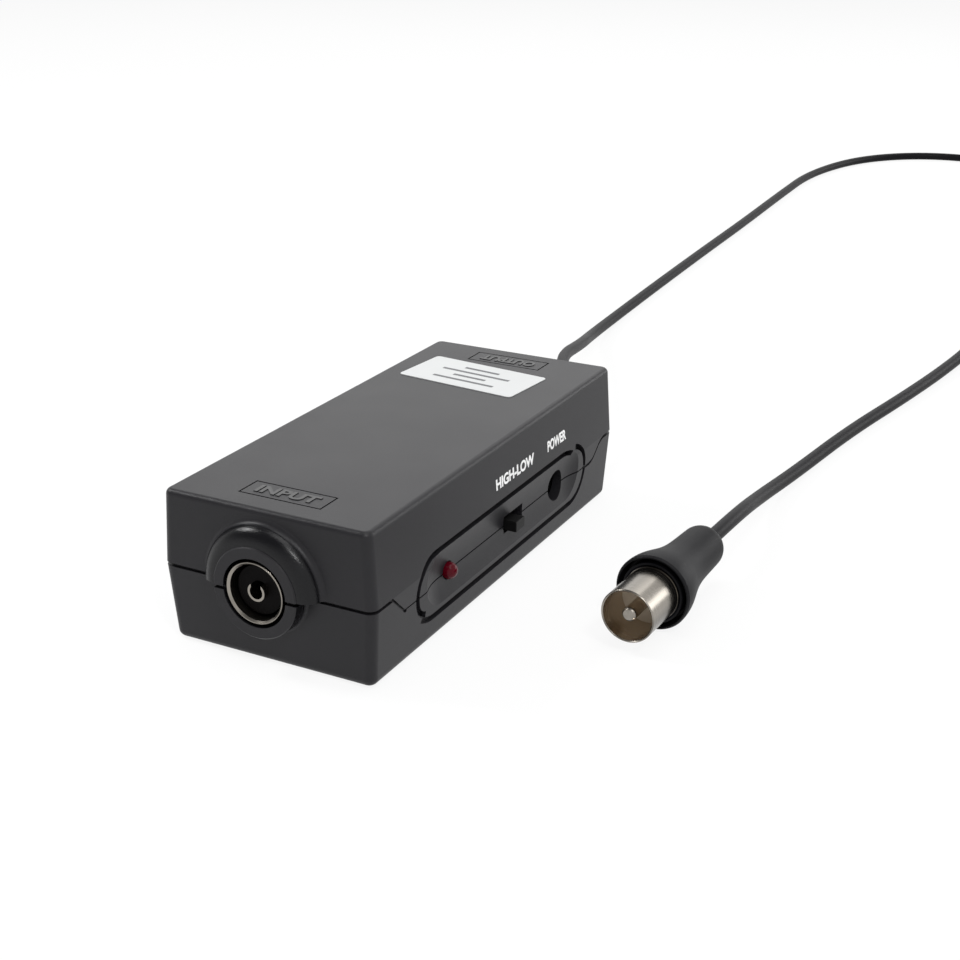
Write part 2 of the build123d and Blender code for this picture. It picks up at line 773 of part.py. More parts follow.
# Aerial socket
with BuildPart() as socket_sleeve:
    with BuildSketch(Plane.XZ.offset(-socket_mouth_y)):
        with Locations((0, seam_z)):
            Circle(socket_outer_radius)
            Circle(socket_bore_radius, mode=Mode.SUBTRACT)
    extrude(amount=-socket_length)
    mouth_edges = socket_sleeve.edges().filter_by(GeomType.CIRCLE).group_by(Axis.Y)[0]
    inner_mouth, outer_mouth = mouth_edges.sort_by(SortBy.RADIUS)
    chamfer(inner_mouth, socket_wall * socket_bevel_share)
    fillet(outer_mouth, socket_wall * socket_round_share)
socket_sleeve.part.label = "socket_sleeve"
export_step(socket_sleeve.part, "parts/socket_sleeve.step")

core_front_y = socket_mouth_y + insulator_core_recess
with BuildPart() as socket_insulator:
    with BuildSketch(Plane.XZ.offset(-insulator_front_y)):
        with Locations((0, seam_z)):
            Circle(socket_bore_radius)
    extrude(amount=insulator_front_y - socket_rear_y)
    with BuildSketch(Plane.XZ.offset(-core_front_y)):
        with Locations((0, seam_z)):
            Circle(insulator_core_radius)
    extrude(amount=core_front_y - insulator_front_y)
    with BuildSketch(Plane.XZ.offset(-core_front_y)):
        with Locations((0, seam_z)):
            Circle(contact_outer_radius)
    extrude(amount=core_front_y - socket_rear_y, mode=Mode.SUBTRACT)
socket_insulator.part.label = "socket_insulator"
export_step(socket_insulator.part, "parts/socket_insulator.step")

contact_front_y = socket_mouth_y + contact_recess
contact_bore_depth = insulator_front_y - contact_front_y
with BuildPart() as socket_contact:
    with BuildSketch(Plane.XZ.offset(-contact_front_y)):
        with Locations((0, seam_z)):
            Circle(contact_outer_radius)
    extrude(amount=contact_front_y - socket_rear_y)
    with BuildSketch(Plane.XZ.offset(-contact_front_y)):
        with Locations((0, seam_z)):
            Circle(contact_bore_radius)
    extrude(amount=-contact_bore_depth, mode=Mode.SUBTRACT)
    with BuildSketch(Plane.XZ.offset(-contact_front_y)):
        with Locations((0, seam_z + contact_outer_radius)):
            Rectangle(contact_slit_width, 2 * contact_outer_radius)
    extrude(amount=-contact_slit_length, mode=Mode.SUBTRACT)
    with BuildSketch(Plane.XZ.offset(-socket_rear_y)):
        with Locations((0, seam_z)):
            Circle(contact_stem_radius)
    extrude(amount=-(contact_leg_spot[1] - socket_rear_y + leg_thickness / 2))
    with BuildSketch(Plane.XY.offset(leg_foot_z)):
        with Locations(contact_leg_spot):
            Rectangle(leg_thickness, leg_thickness)
    extrude(amount=seam_z - leg_foot_z)
socket_contact.part.label = "socket_contact"
export_step(socket_contact.part, "parts/socket_contact.step")

bracket_front_y = front_y + wall + bracket_wall_gap
saddle_radius = socket_outer_radius + bracket_thickness
with BuildPart() as socket_bracket:
    with BuildSketch(Plane.XZ.offset(-bracket_front_y)):
        with Locations((0, seam_z)):
            Circle(saddle_radius)
        with Locations((0, seam_z - saddle_radius)):
            Rectangle(2 * saddle_radius, 2 * saddle_radius)
        with Locations((0, board_top_z / 2)):
            Rectangle(4 * saddle_radius, board_top_z, mode=Mode.SUBTRACT)
        with Locations((0, board_top_z + bracket_thickness / 2)):
            Rectangle(2 * (saddle_radius + bracket_foot_reach), bracket_thickness)
        with Locations((0, seam_z)):
            Circle(socket_outer_radius, mode=Mode.SUBTRACT)
        with Locations((0, seam_z - saddle_radius)):
            Rectangle(2 * socket_outer_radius, 2 * saddle_radius, mode=Mode.SUBTRACT)
    extrude(amount=-bracket_length)
socket_bracket.part.label = "socket_bracket"
export_step(socket_bracket.part, "parts/socket_bracket.step")

# Light
light_tip_x = side_x + light_tip_reach
with BuildPart() as light_lens:
    with BuildSketch(Plane.XY.offset(panel_z)):
        with BuildLine():
            Polyline(
                (light_tip_x - light_radius, light_y + light_radius),
                (light_flange_x + light_flange_thickness, light_y + light_radius),
                (light_flange_x + light_flange_thickness, light_y + light_flange_radius),
                (light_flange_x, light_y + light_flange_radius),
                (light_flange_x, light_y),
                (light_tip_x, light_y),
            )
            RadiusArc(
                (light_tip_x, light_y), (light_tip_x - light_radius, light_y + light_radius), -light_radius
            )
        make_face()
    revolve(axis=Axis((0, light_y, panel_z), (1, 0, 0)))
light_lens.part.label = "light_lens"
export_step(light_lens.part, "parts/light_lens.step")

with BuildPart() as light_leads:
    with BuildSketch(Plane.YZ.offset(light_bend_x - light_lead_size / 2)):
        with Locations(*[(y, panel_z) for x, y in light_leg_spots]):
            Rectangle(light_lead_size, light_lead_size)
    extrude(amount=light_flange_x - light_bend_x + light_lead_size / 2)
    with BuildSketch(Plane.XY.offset(leg_foot_z)):
        with Locations(*light_leg_spots):
            Rectangle(light_lead_size, light_lead_size)
    extrude(amount=panel_z - leg_foot_z)
light_leads.part.label = "light_leads"
export_step(light_leads.part, "parts/light_leads.step")

# Slide switch
switch_base_top_z = board_top_z + switch_base_thickness
pin_head_z = switch_base_top_z + switch_pin_head_height
carrier_bottom_z = pin_head_z + running_gap + bridge_thickness
carrier_top_z = carrier_bottom_z + carrier_height
frame_top_z = carrier_top_z + running_gap + switch_sheet
with BuildPart() as switch_base:
    with BuildSketch(Plane.XY.offset(board_top_z)):
        with Locations((switch_centre_x, slot_centre_y)):
            Rectangle(
                frame_depth - 2 * (switch_sheet + assembly_gap),
                2 * (frame_half_length - switch_sheet - assembly_gap),
            )
        with Locations(*switch_pin_spots):
            Circle(switch_pin_size / 2 + thread_clearance, mode=Mode.SUBTRACT)
    extrude(amount=switch_base_thickness)
switch_base.part.label = "switch_base"
export_step(switch_base.part, "parts/switch_base.step")

with BuildPart() as switch_pins:
    with BuildSketch(Plane.XY.offset(leg_foot_z)):
        with Locations(*switch_pin_spots):
            Circle(switch_pin_size / 2)
    extrude(amount=pin_head_z - leg_foot_z)
    with BuildSketch(Plane.XY.offset(switch_base_top_z)):
        with Locations(*switch_pin_spots):
            Circle(switch_pin_head_radius)
    extrude(amount=pin_head_z - switch_base_top_z)
switch_pins.part.label = "switch_pins"
export_step(switch_pins.part, "parts/switch_pins.step")

with BuildPart() as switch_frame:
    with BuildSketch(Plane.XY.offset(board_top_z)):
        with Locations((switch_centre_x, slot_centre_y)):
            Rectangle(frame_depth, 2 * frame_half_length)
    extrude(amount=frame_top_z - board_top_z)
    fillet(switch_frame.faces().sort_by(Axis.Z)[-1].edges(), switch_sheet / 2)
    with BuildSketch(Plane.XY.offset(board_top_z)):
        with Locations((switch_centre_x, slot_centre_y)):
            Rectangle(frame_depth - 2 * switch_sheet, 2 * (frame_half_length - switch_sheet))
    extrude(amount=frame_top_z - switch_sheet - board_top_z, mode=Mode.SUBTRACT)
    with BuildSketch(Plane.YZ.offset(frame_face_x - 1)):
        with Locations((slot_centre_y, panel_z)):
            Rectangle(slot_length, knob_height + 2 * running_gap)
    extrude(amount=2, mode=Mode.SUBTRACT)
    with BuildSketch(Plane.XY.offset(leg_foot_z)):
        with Locations(*frame_tab_spots):
            Rectangle(frame_tab_width, switch_sheet)
    extrude(amount=board_top_z - leg_foot_z)
switch_frame.part.label = "switch_frame"
export_step(switch_frame.part, "parts/switch_frame.step")

with BuildPart() as switch_slider:
    with BuildSketch(Plane.XY.offset(carrier_bottom_z)):
        with Locations((switch_centre_x, knob_rest_y)):
            Rectangle(carrier_depth, carrier_length)
    extrude(amount=carrier_height)
    with BuildSketch(Plane.YZ.offset(switch_centre_x)):
        with Locations((knob_rest_y, panel_z)):
            RectangleRounded(knob_length, knob_height, 0.15)
    extrude(amount=knob_tip_x - switch_centre_x)
    knob_end = switch_slider.faces().sort_by(Axis.X)[-1]
    fillet(knob_end.edges(), 0.12)
switch_slider.part.label = "switch_slider"
export_step(switch_slider.part, "parts/switch_slider.step")

with BuildPart() as switch_bridge:
    with BuildSketch(Plane.XY.offset(carrier_bottom_z)):
        with Locations((switch_centre_x, knob_rest_y)):
            RectangleRounded(carrier_depth - 1.0, carrier_length - 0.8, 0.4)
    extrude(amount=-bridge_thickness)
switch_bridge.part.label = "switch_bridge"
export_step(switch_bridge.part, "parts/switch_bridge.step")

# Power jack
jack_top_z = panel_z + jack_width / 2 - jack_top_cut
spring_slot_width = jack_spring_width + 2 * leg_slot_play
spring_low_z = panel_z - jack_bore_radius - jack_spring_thickness - leg_slot_play
spring_reach = 6.2  # from the spring's leg to its far end
spring_crest = 4.6
spring_bend = 2.0
with BuildPart() as jack_body:
    with BuildSketch(Plane.XY.offset(board_top_z)):
        with Locations((jack_face_x - jack_depth / 2, jack_y)):
            Rectangle(jack_depth, jack_width)
    extrude(amount=jack_top_z - board_top_z)
    fillet(jack_body.edges().filter_by(Axis.X).group_by(Axis.Z)[-1], jack_top_radius)
    with BuildSketch(Plane.YZ.offset(jack_face_x)):
        with Locations((jack_y, panel_z)):
            Circle(jack_bore_radius)
    extrude(amount=-jack_bore_depth, mode=Mode.SUBTRACT)
    with BuildSketch(Plane.YZ.offset(jack_back_x)):
        with Locations((jack_y, panel_z)):
            Circle(jack_pin_radius)
    extrude(amount=jack_depth - jack_bore_depth, mode=Mode.SUBTRACT)
    with BuildSketch(Plane.XY.offset(spring_low_z - jack_spring_thickness)):
        with Locations((jack_spring_spot[0] - jack_spring_thickness, jack_y)):
            Rectangle(
                spring_reach + 3 * jack_spring_thickness,
                spring_slot_width,
                align=(Align.MIN, Align.CENTER),
            )
    extrude(amount=jack_bore_radius, mode=Mode.SUBTRACT)
    with BuildSketch(Plane.XY.offset(board_top_z)):
        with Locations(jack_spring_spot):
            Rectangle(jack_spring_thickness + leg_slot_play / 2, spring_slot_width)
    extrude(amount=spring_low_z - board_top_z, mode=Mode.SUBTRACT)
jack_body.part.label = "jack_body"
export_step(jack_body.part, "parts/jack_body.step")

with BuildPart() as jack_pin:
    with BuildSketch(Plane.YZ.offset(jack_back_x - jack_spring_thickness)):
        with Locations((jack_y, panel_z)):
            Circle(jack_pin_radius)
    extrude(amount=jack_depth - jack_bore_depth + jack_spring_thickness + jack_pin_length)
    fillet(jack_pin.edges().sort_by(Axis.X)[-1], jack_pin_radius * 0.6)
    with BuildSketch(Plane.YZ.offset(jack_back_x - jack_spring_thickness)):
        with Locations((jack_y, panel_z)):
            Circle(jack_pin_head_radius)
    extrude(amount=-jack_pin_head_height)
jack_pin.part.label = "jack_pin"
export_step(jack_pin.part, "parts/jack_pin.step")

with BuildPart() as jack_terminals:
    with BuildSketch(Plane.YZ.offset(jack_back_x)):
        with Locations((jack_y, (leg_foot_z + panel_z) / 2 + 1.0)):
            Rectangle(jack_terminal_width, panel_z - leg_foot_z + 2.0)
        with Locations((jack_y, panel_z)):
            Circle(jack_pin_radius, mode=Mode.SUBTRACT)
    extrude(amount=-jack_spring_thickness)
    with BuildSketch(Plane.XZ.offset(-jack_y - jack_width / 2)):
        with Locations((jack_side_spot[0], (leg_foot_z + panel_z) / 2)):
            Rectangle(jack_terminal_width, panel_z - leg_foot_z)
    extrude(amount=-jack_spring_thickness)
jack_terminals.part.label = "jack_terminals"
export_step(jack_terminals.part, "parts/jack_terminals.step")

with BuildPart() as jack_spring:
    with BuildSketch(Plane.XZ.offset(-jack_y)):
        with BuildLine():
            FilletPolyline(
                (jack_spring_spot[0], leg_foot_z),
                (jack_spring_spot[0], spring_low_z),
                (jack_spring_spot[0] + spring_bend, spring_low_z),
                (jack_spring_spot[0] + spring_crest, spring_low_z + jack_spring_rise),
                (jack_spring_spot[0] + spring_reach, spring_low_z),
                radius=jack_spring_thickness,
            )
        trace(line_width=jack_spring_thickness)
    extrude(amount=jack_spring_width / 2, both=True)
jack_spring.part.label = "jack_spring"
export_step(jack_spring.part, "parts/jack_spring.step")

# Components on the board
with BuildPart() as amplifier_chip:
    with BuildSketch(Plane.XY.offset(board_top_z + 0.15)):
        with Locations(chip_spot):
            Rectangle(chip_size[0], chip_size[1])
    extrude(amount=chip_size[2])
    chamfer(amplifier_chip.faces().sort_by(Axis.Z)[-1].edges(), 0.15)
amplifier_chip.part.label = "amplifier_chip"
export_step(amplifier_chip.part, "parts/amplifier_chip.step")

pin_sheet = 0.2
chip_pin_xs = [chip_spot[0] + (place - 1.5) * chip_pin_pitch for place in range(4)]
with BuildPart() as chip_pins:
    for way in (-1, 1):
        chip_edge = chip_spot[1] + way * chip_size[1] / 2
        for pin_x in chip_pin_xs:
            with BuildSketch(Plane.YZ.offset(pin_x - chip_pin_width / 2)):
                with BuildLine():
                    Polyline(
                        (chip_edge, board_top_z + 0.8),
                        (chip_edge + way * chip_pin_reach * 0.4, board_top_z + 0.8),
                        (chip_edge + way * chip_pin_reach * 0.6, board_top_z + pin_sheet / 2),
                        (chip_edge + way * chip_pin_reach, board_top_z + pin_sheet / 2),
                    )
                trace(line_width=pin_sheet)
            extrude(amount=chip_pin_width)
chip_pins.part.label = "chip_pins"
export_step(chip_pins.part, "parts/chip_pins.step")

with BuildPart() as filter_capacitor:
    with BuildSketch(Plane.XY.offset(board_top_z)):
        with Locations(capacitor_spot):
            Circle(capacitor_radius)
    extrude(amount=capacitor_height)
    fillet(filter_capacitor.edges().group_by(Axis.Z)[-1], 0.5)
    with BuildSketch(Plane.XY.offset(board_top_z + 1.0)):
        with Locations(capacitor_spot):
            Circle(capacitor_radius + 1)
            Circle(capacitor_radius - 0.25, mode=Mode.SUBTRACT)
    extrude(amount=0.7, mode=Mode.SUBTRACT)
    with BuildSketch(Plane.XY.offset(leg_foot_z)):
        with Locations(*capacitor_leg_spots):
            Circle(light_lead_size / 2)
    extrude(amount=board_top_z - leg_foot_z)
filter_capacitor.part.label = "filter_capacitor"
export_step(filter_capacitor.part, "parts/filter_capacitor.step")


def small_blocks(spots, size):
    """Surface-mounted blocks, one at each spot."""
    with BuildPart() as blocks:
        with BuildSketch(Plane.XY.offset(board_top_z)):
            with Locations(*spots):
                Rectangle(size[0], size[1])
        extrude(amount=size[2])
        chamfer(blocks.faces().filter_by(Plane.XY).group_by(Axis.Z)[-1].edges(), size[2] / 8)
    return blocks.part


ceramic_capacitors = small_blocks(chip_capacitor_spots, chip_capacitor_size)
ceramic_capacitors.label = "ceramic_capacitors"
export_step(ceramic_capacitors, "parts/ceramic_capacitors.step")

resistors = small_blocks(resistor_spots, resistor_size)
resistors.label = "resistors"
export_step(resistors, "parts/resistors.step")

with BuildPart() as supply_choke:
    with BuildSketch(Plane.XY.offset(board_top_z)):
        with Locations(choke_spot):
            RectangleRounded(choke_size[0], choke_size[1], 0.8)
    extrude(amount=choke_size[2])
    with BuildSketch(Plane.XY.offset(board_top_z + choke_size[2])):
        with Locations(choke_spot):
            Circle(choke_size[0] / 2 - 0.5)
            Circle(choke_size[0] / 2 - 0.9, mode=Mode.SUBTRACT)
    extrude(amount=-0.5, mode=Mode.SUBTRACT)
supply_choke.part.label = "supply_choke"
export_step(supply_choke.part, "parts/supply_choke.step")

regulator_leg = (0.5, 1.2, 0.4)
with BuildPart() as voltage_regulator:
    with BuildSketch(Plane.XY.offset(board_top_z)):
        with Locations(regulator_spot):
            Rectangle(regulator_size[0], regulator_size[1])
    extrude(amount=regulator_size[2])
    chamfer(voltage_regulator.faces().sort_by(Axis.Z)[-1].edges(), 0.15)
    with BuildSketch(Plane.XY.offset(board_top_z)):
        leg_y = regulator_spot[1] - regulator_size[1] / 2 - regulator_leg[1] / 2
        with Locations(*[(regulator_spot[0] + way * 1.5, leg_y) for way in (-1, 0, 1)]):
            Rectangle(regulator_leg[0], regulator_leg[1])
        tab_y = regulator_spot[1] + regulator_size[1] / 2 + regulator_leg[1] / 2
        with Locations((regulator_spot[0], tab_y)):
            Rectangle(regulator_leg[0] * 4, regulator_leg[1])
    extrude(amount=regulator_leg[2])
voltage_regulator.part.label = "voltage_regulator"
export_step(voltage_regulator.part, "parts/voltage_regulator.step")

# Label on the top
with BuildPart() as rating_label:
    with BuildSketch(Plane.XY.offset(box_height)):
        with Locations(Location(label_centre, label_turn)):
            RectangleRounded(label_width, label_length, label_corner_radius)
    extrude(amount=label_thickness)
rating_label.part.label = "rating_label"
export_step(rating_label.part, "parts/rating_label.step")

# Strain relief in the back wall
neck_start_y = back_y - wall - bushing_play
with BuildPart() as lead_bushing:
    with BuildSketch(Plane.YZ):
        with BuildLine():
            Polyline(
                (neck_start_y - bushing_inner_flange, seam_z + lead_radius + bore_clearance),
                (neck_start_y - bushing_inner_flange, seam_z + bushing_flange_radius),
                (neck_start_y, seam_z + bushing_flange_radius),
                (neck_start_y, seam_z + bushing_neck_radius),
                (back_y, seam_z + bushing_neck_radius),
                (back_y, seam_z + bushing_flange_radius),
                (back_y + bushing_outer_flange, seam_z + bushing_flange_radius),
                (back_y + bushing_outer_flange, seam_z + bushing_neck_radius + 0.3),
                (lead_exit_y, seam_z + bushing_end_radius),
                (lead_exit_y, seam_z + lead_radius + bore_clearance),
                close=True,
            )
        make_face()
    revolve(axis=Axis((0, 0, seam_z), (0, 1, 0)))
    for groove in range(bushing_groove_count):
        groove_y = back_y + bushing_groove_start + groove * bushing_groove_pitch
        with BuildSketch(Plane.XZ.offset(-groove_y)):
            with Locations((0, seam_z)):
                Circle(bushing_flange_radius)
                Circle(lead_radius + bushing_skin, mode=Mode.SUBTRACT)
                Rectangle(bushing_rib_width, 2 * bushing_flange_radius, mode=Mode.SUBTRACT)
        extrude(amount=-bushing_groove_width, mode=Mode.SUBTRACT)
lead_bushing.part.label = "lead_bushing"
export_step(lead_bushing.part, "parts/lead_bushing.step")


def bend_radii(points):
    """Radius at each corner of a route, limited by the shorter run beside it."""
    radii = []
    for before, corner, after in zip(points, points[1:], points[2:]):
        run_in = Vector(*corner) - Vector(*before)
        run_out = Vector(*after) - Vector(*corner)
        turn = radians(run_in.get_angle(run_out))
        radii.append(0.45 * min(run_in.length, run_out.length) / tan(turn / 2))
    return radii


def tube_along(path, radius, name):
    """A round tube along a path. It prints its length and how well its volume agrees."""
    with BuildPart() as tube:
        with BuildSketch(Plane(origin=path @ 0, z_dir=path % 0)):
            Circle(radius)
        sweep(path=path)
    expected = pi * radius**2 * path.length
    print(name, "length", round(path.length, 1), "volume ratio", round(tube.part.volume / expected, 4))
    tube.part.label = name
    export_step(tube.part, "parts/" + name + ".step")
    return tube.part


def routed_tube(points, radius, name):
    """A tube on straight runs joined by arcs."""
    radii = bend_radii(points)
    print(name, "least bend radius", round(min(radii), 1))
    with BuildLine() as route:
        FilletPolyline(*points, radius=radii)
    return tube_along(route.wire(), radius, name)


# The lead's end inside the box
jacket_end_y = braid_spot[1] + jacket_overlap
with BuildPart() as lead_tail:
    with BuildSketch(Plane.XZ.offset(-lead_exit_y)):
        with Locations((0, seam_z)):
            Circle(lead_radius)
    extrude(amount=lead_exit_y - jacket_end_y)
lead_tail.part.label = "lead_tail"
export_step(lead_tail.part, "parts/lead_tail.step")

with BuildPart() as lead_braid:
    with BuildSketch(Plane.XZ.offset(-jacket_end_y)):
        with Locations((0, seam_z)):
            Circle(core_radius + braid_skin)
    extrude(amount=braid_reach)
    with BuildSketch(Plane.XY.offset(leg_foot_z)):
        with Locations(braid_spot):
            Circle(braid_wire_radius)
    extrude(amount=seam_z - leg_foot_z)
    with BuildSketch(Plane.XZ.offset(-jacket_end_y)):
        with Locations((0, seam_z)):
            Circle(core_radius)
    extrude(amount=braid_reach, mode=Mode.SUBTRACT)
lead_braid.part.label = "lead_braid"
export_step(lead_braid.part, "parts/lead_braid.step")

with BuildLine() as core_line:
    FilletPolyline(
        (0, jacket_end_y, seam_z),
        (0, core_spot[1], seam_z),
        (0, core_spot[1], leg_foot_z),
        radius=core_bend_radius,
    )
lead_core = tube_along(core_line.wire(), core_radius, "lead_core")

# Coil: a two-layer spiral of half turns that climbs where it reverses
coil_pitch = lead_diameter + coil_turn_gap
coil_low_z = coil_entry_z
coil_high_z = coil_exit_z
coil_centre = (coil_entry[0] + coil_outer_radius, coil_entry[1])


def half_turn(start_x, start_angle, radius, z):
    """A half turn counterclockwise. It gives the edge and the x at which it ends."""
    way = 1 if start_angle == 0 else -1
    centre_x = start_x - way * radius
    with BuildLine(Plane.XY.offset(z)) as bend:
        CenterArc((centre_x, coil_centre[1]), radius, start_angle, 180)
    return bend.edges(), centre_x - way * radius


coil_edges = []
turn_x = coil_entry[0]
turn_angle = 180
turn_radius = coil_outer_radius
with BuildLine() as coil_start:
    Line((*coil_entry[:1], coil_entry[1] + lead_diameter, coil_low_z), (*coil_entry, coil_low_z))
coil_edges += coil_start.edges()
for turn in range(coil_half_turns_down):
    edges, turn_x = half_turn(turn_x, turn_angle, turn_radius, coil_low_z)
    coil_edges += edges
    turn_angle = 180 - turn_angle
    turn_radius -= coil_pitch / 2
climb_way = 1 if turn_angle == 0 else -1
climb_centre_x = turn_x - climb_way * turn_radius
climb_points = []
for place in range(climb_steps + 1):
    share = place / climb_steps
    angle = radians(turn_angle + 180 * share)
    rise = share - sin(2 * pi * share) / (2 * pi)
    climb_points.append(
        (
            climb_centre_x + turn_radius * cos(angle),
            coil_centre[1] + turn_radius * sin(angle),
            coil_low_z + coil_pitch * rise,
        )
    )
with BuildLine() as climb:
    Spline(
        *climb_points,
        tangents=[(0, climb_way), (0, -climb_way)],
        tangent_scalars=[climb_ease, climb_ease],
    )
coil_edges += climb.edges()
turn_x = climb_points[-1][0]
turn_angle = 180 - turn_angle
for turn in range(coil_half_turns_down - 1):
    turn_radius += coil_pitch / 2
    edges, turn_x = half_turn(turn_x, turn_angle, turn_radius, coil_high_z)
    coil_edges += edges
    turn_angle = 180 - turn_angle
with BuildLine() as coil_end:
    Line((turn_x, coil_centre[1], coil_high_z), (turn_x, coil_centre[1] - lead_diameter, coil_high_z))
coil_edges += coil_end.edges()
coil_path = Wire(coil_edges)
lead_coil = tube_along(coil_path, lead_radius, "lead_coil")

sample_count = 700
coil_samples = [coil_path @ (place / sample_count) for place in range(sample_count + 1)]
sample_step = coil_path.length / sample_count
skip = int(3 * lead_diameter / sample_step)
least_gap = min(
    (coil_samples[one] - coil_samples[two]).length
    for one in range(sample_count)
    for two in range(one + skip, sample_count + 1)
)
print("coil least gap to itself", round(least_gap - lead_diameter, 3))

# Tie round the coil's far side
far_x = coil_centre[0] + coil_outer_radius
bundle_inner_x = climb_centre_x + abs(climb_points[0][0] - climb_centre_x)
tie_left = min(bundle_inner_x, far_x) - lead_radius - tie_gap
tie_right = far_x + lead_radius + tie_gap
tie_low = coil_low_z - lead_radius - tie_gap
tie_high = coil_high_z + lead_radius + tie_gap
with BuildPart() as coil_tie:
    with BuildSketch(Plane.XZ.offset(-coil_centre[1] + tie_width / 2)):
        with Locations(((tie_left + tie_right) / 2, (tie_low + tie_high) / 2)):
            RectangleRounded(
                tie_right - tie_left + 2 * tie_thickness,
                tie_high - tie_low + 2 * tie_thickness,
                1.6 + tie_thickness,
            )
            RectangleRounded(tie_right - tie_left, tie_high - tie_low, 1.6, mode=Mode.SUBTRACT)
    extrude(amount=-tie_width)
coil_tie.part.label = "coil_tie"
export_step(coil_tie.part, "parts/coil_tie.step")

lead_from_box = routed_tube(route_out, lead_radius, "lead_from_box")
lead_to_plug = routed_tube(route_back, lead_radius, "lead_to_plug")

# Plug, built along its own axis from the tip to the rear
plug_side = (cos(radians(plug_yaw)), -sin(radians(plug_yaw)), 0)
plug_plane = Plane(origin=(*plug_tip, plug_axis_z), x_dir=plug_way, z_dir=plug_side)
plug_axis = Axis((*plug_tip, plug_axis_z), plug_way)
flare_x = plug_sleeve_reach
sleeve_end_x = flare_x + plug_collar_length
sleeve_edge = plug_sleeve_wall * 0.4
sleeve_bore = plug_sleeve_radius - plug_sleeve_wall
with BuildPart() as plug_sleeve:
    with BuildSketch(plug_plane):
        with BuildLine():
            Polyline(
                (0, sleeve_bore + sleeve_edge),
                (0, plug_sleeve_radius - sleeve_edge),
                (sleeve_edge, plug_sleeve_radius),
                (flare_x, plug_sleeve_radius),
                (flare_x, plug_collar_radius),
                (sleeve_end_x, plug_collar_radius),
                (sleeve_end_x, sleeve_bore),
                (sleeve_edge, sleeve_bore),
                close=True,
            )
        make_face()
    revolve(axis=plug_axis)
plug_sleeve.part.label = "plug_sleeve"
export_step(plug_sleeve.part, "parts/plug_sleeve.step")

with BuildPart() as plug_insulator:
    with BuildSketch(plug_plane):
        with BuildLine():
            Polyline(
                (plug_insulator_depth, plug_pin_radius),
                (plug_insulator_depth, sleeve_bore),
                (plug_insulator_depth + plug_insulator_length, sleeve_bore),
                (plug_insulator_depth + plug_insulator_length, plug_pin_radius),
                close=True,
            )
        make_face()
    revolve(axis=plug_axis)
plug_insulator.part.label = "plug_insulator"
export_step(plug_insulator.part, "parts/plug_insulator.step")

pin_end_x = plug_insulator_depth + plug_insulator_length
with BuildPart() as plug_pin:
    with BuildSketch(plug_plane):
        with BuildLine():
            Polyline(
                (plug_pin_recess, 0),
                (plug_pin_recess, plug_pin_radius - plug_pin_bevel),
                (plug_pin_recess + plug_pin_bevel, plug_pin_radius),
                (pin_end_x, plug_pin_radius),
                (pin_end_x, 0),
                close=True,
            )
        make_face()
    revolve(axis=plug_axis)
plug_pin.part.label = "plug_pin"
export_step(plug_pin.part, "parts/plug_pin.step")

with BuildPart() as plug_boot:
    with BuildSketch(plug_plane):
        with BuildLine():
            Spline(
                (flare_x + boot_rim_width, boot_flare_radius),
                (flare_x + boot_shoulder_at, boot_shoulder_radius),
                (flare_x + boot_neck_at, boot_neck_radius),
                (flare_x + boot_waist_at, boot_waist_radius),
                (flare_x + boot_barrel_at, boot_barrel_radius),
                (flare_x + boot_round_at, boot_round_radius),
            )
            EllipticalCenterArc(
                (flare_x + boot_round_at, boot_end_radius),
                boot_length - boot_round_at,
                boot_round_radius - boot_end_radius,
                start_angle=0,
                arc_size=90,
            )
            Polyline(
                (plug_length, boot_end_radius),
                (plug_length, 0),
                (pin_end_x, 0),
                (pin_end_x, sleeve_bore),
                (sleeve_end_x, sleeve_bore),
                (sleeve_end_x, plug_collar_radius),
                (flare_x, plug_collar_radius),
                (flare_x, boot_hub_radius),
                (flare_x + boot_recess_depth, boot_hub_radius),
                (flare_x + boot_recess_depth, boot_recess_floor_radius),
                (flare_x, boot_flare_radius - boot_rim_width),
                (flare_x, boot_flare_radius - boot_rim_width / 2),
                (flare_x + boot_rim_width, boot_flare_radius),
            )
        make_face()
    revolve(axis=plug_axis)
plug_boot.part.label = "plug_boot"
export_step(plug_boot.part, "parts/plug_boot.step")
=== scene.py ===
import bpy
import json
from math import cos, pi, radians, sin, tan
from mathutils import Matrix, Vector


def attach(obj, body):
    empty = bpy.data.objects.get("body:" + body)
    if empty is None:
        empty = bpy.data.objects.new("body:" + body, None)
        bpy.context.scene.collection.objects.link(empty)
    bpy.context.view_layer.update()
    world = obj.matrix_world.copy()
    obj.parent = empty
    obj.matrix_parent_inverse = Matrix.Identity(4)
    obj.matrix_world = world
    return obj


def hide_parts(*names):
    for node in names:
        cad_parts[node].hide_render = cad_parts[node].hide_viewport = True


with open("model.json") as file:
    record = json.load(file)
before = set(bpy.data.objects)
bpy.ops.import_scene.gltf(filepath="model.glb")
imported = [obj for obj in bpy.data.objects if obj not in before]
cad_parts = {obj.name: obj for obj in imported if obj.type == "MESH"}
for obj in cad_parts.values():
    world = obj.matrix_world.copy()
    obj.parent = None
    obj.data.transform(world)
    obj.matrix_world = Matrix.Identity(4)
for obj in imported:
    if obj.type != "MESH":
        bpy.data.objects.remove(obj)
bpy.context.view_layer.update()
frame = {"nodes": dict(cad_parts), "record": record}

# In-line aerial amplifier: a black box with a socket in front and a thin lead behind.
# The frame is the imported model's, in metres. The socket faces -Y, the switch side +X, up is +Z.
# The dictionaries give lengths in millimetres unless they say otherwise.

nodes = frame["nodes"]
mm = 0.001
seamHeight = 14.0  # the seam, the socket's axis and the lead's exit are this high
boxTop = 27.0


def inMetres(place):
    return tuple(part * mm for part in place)


# Camera

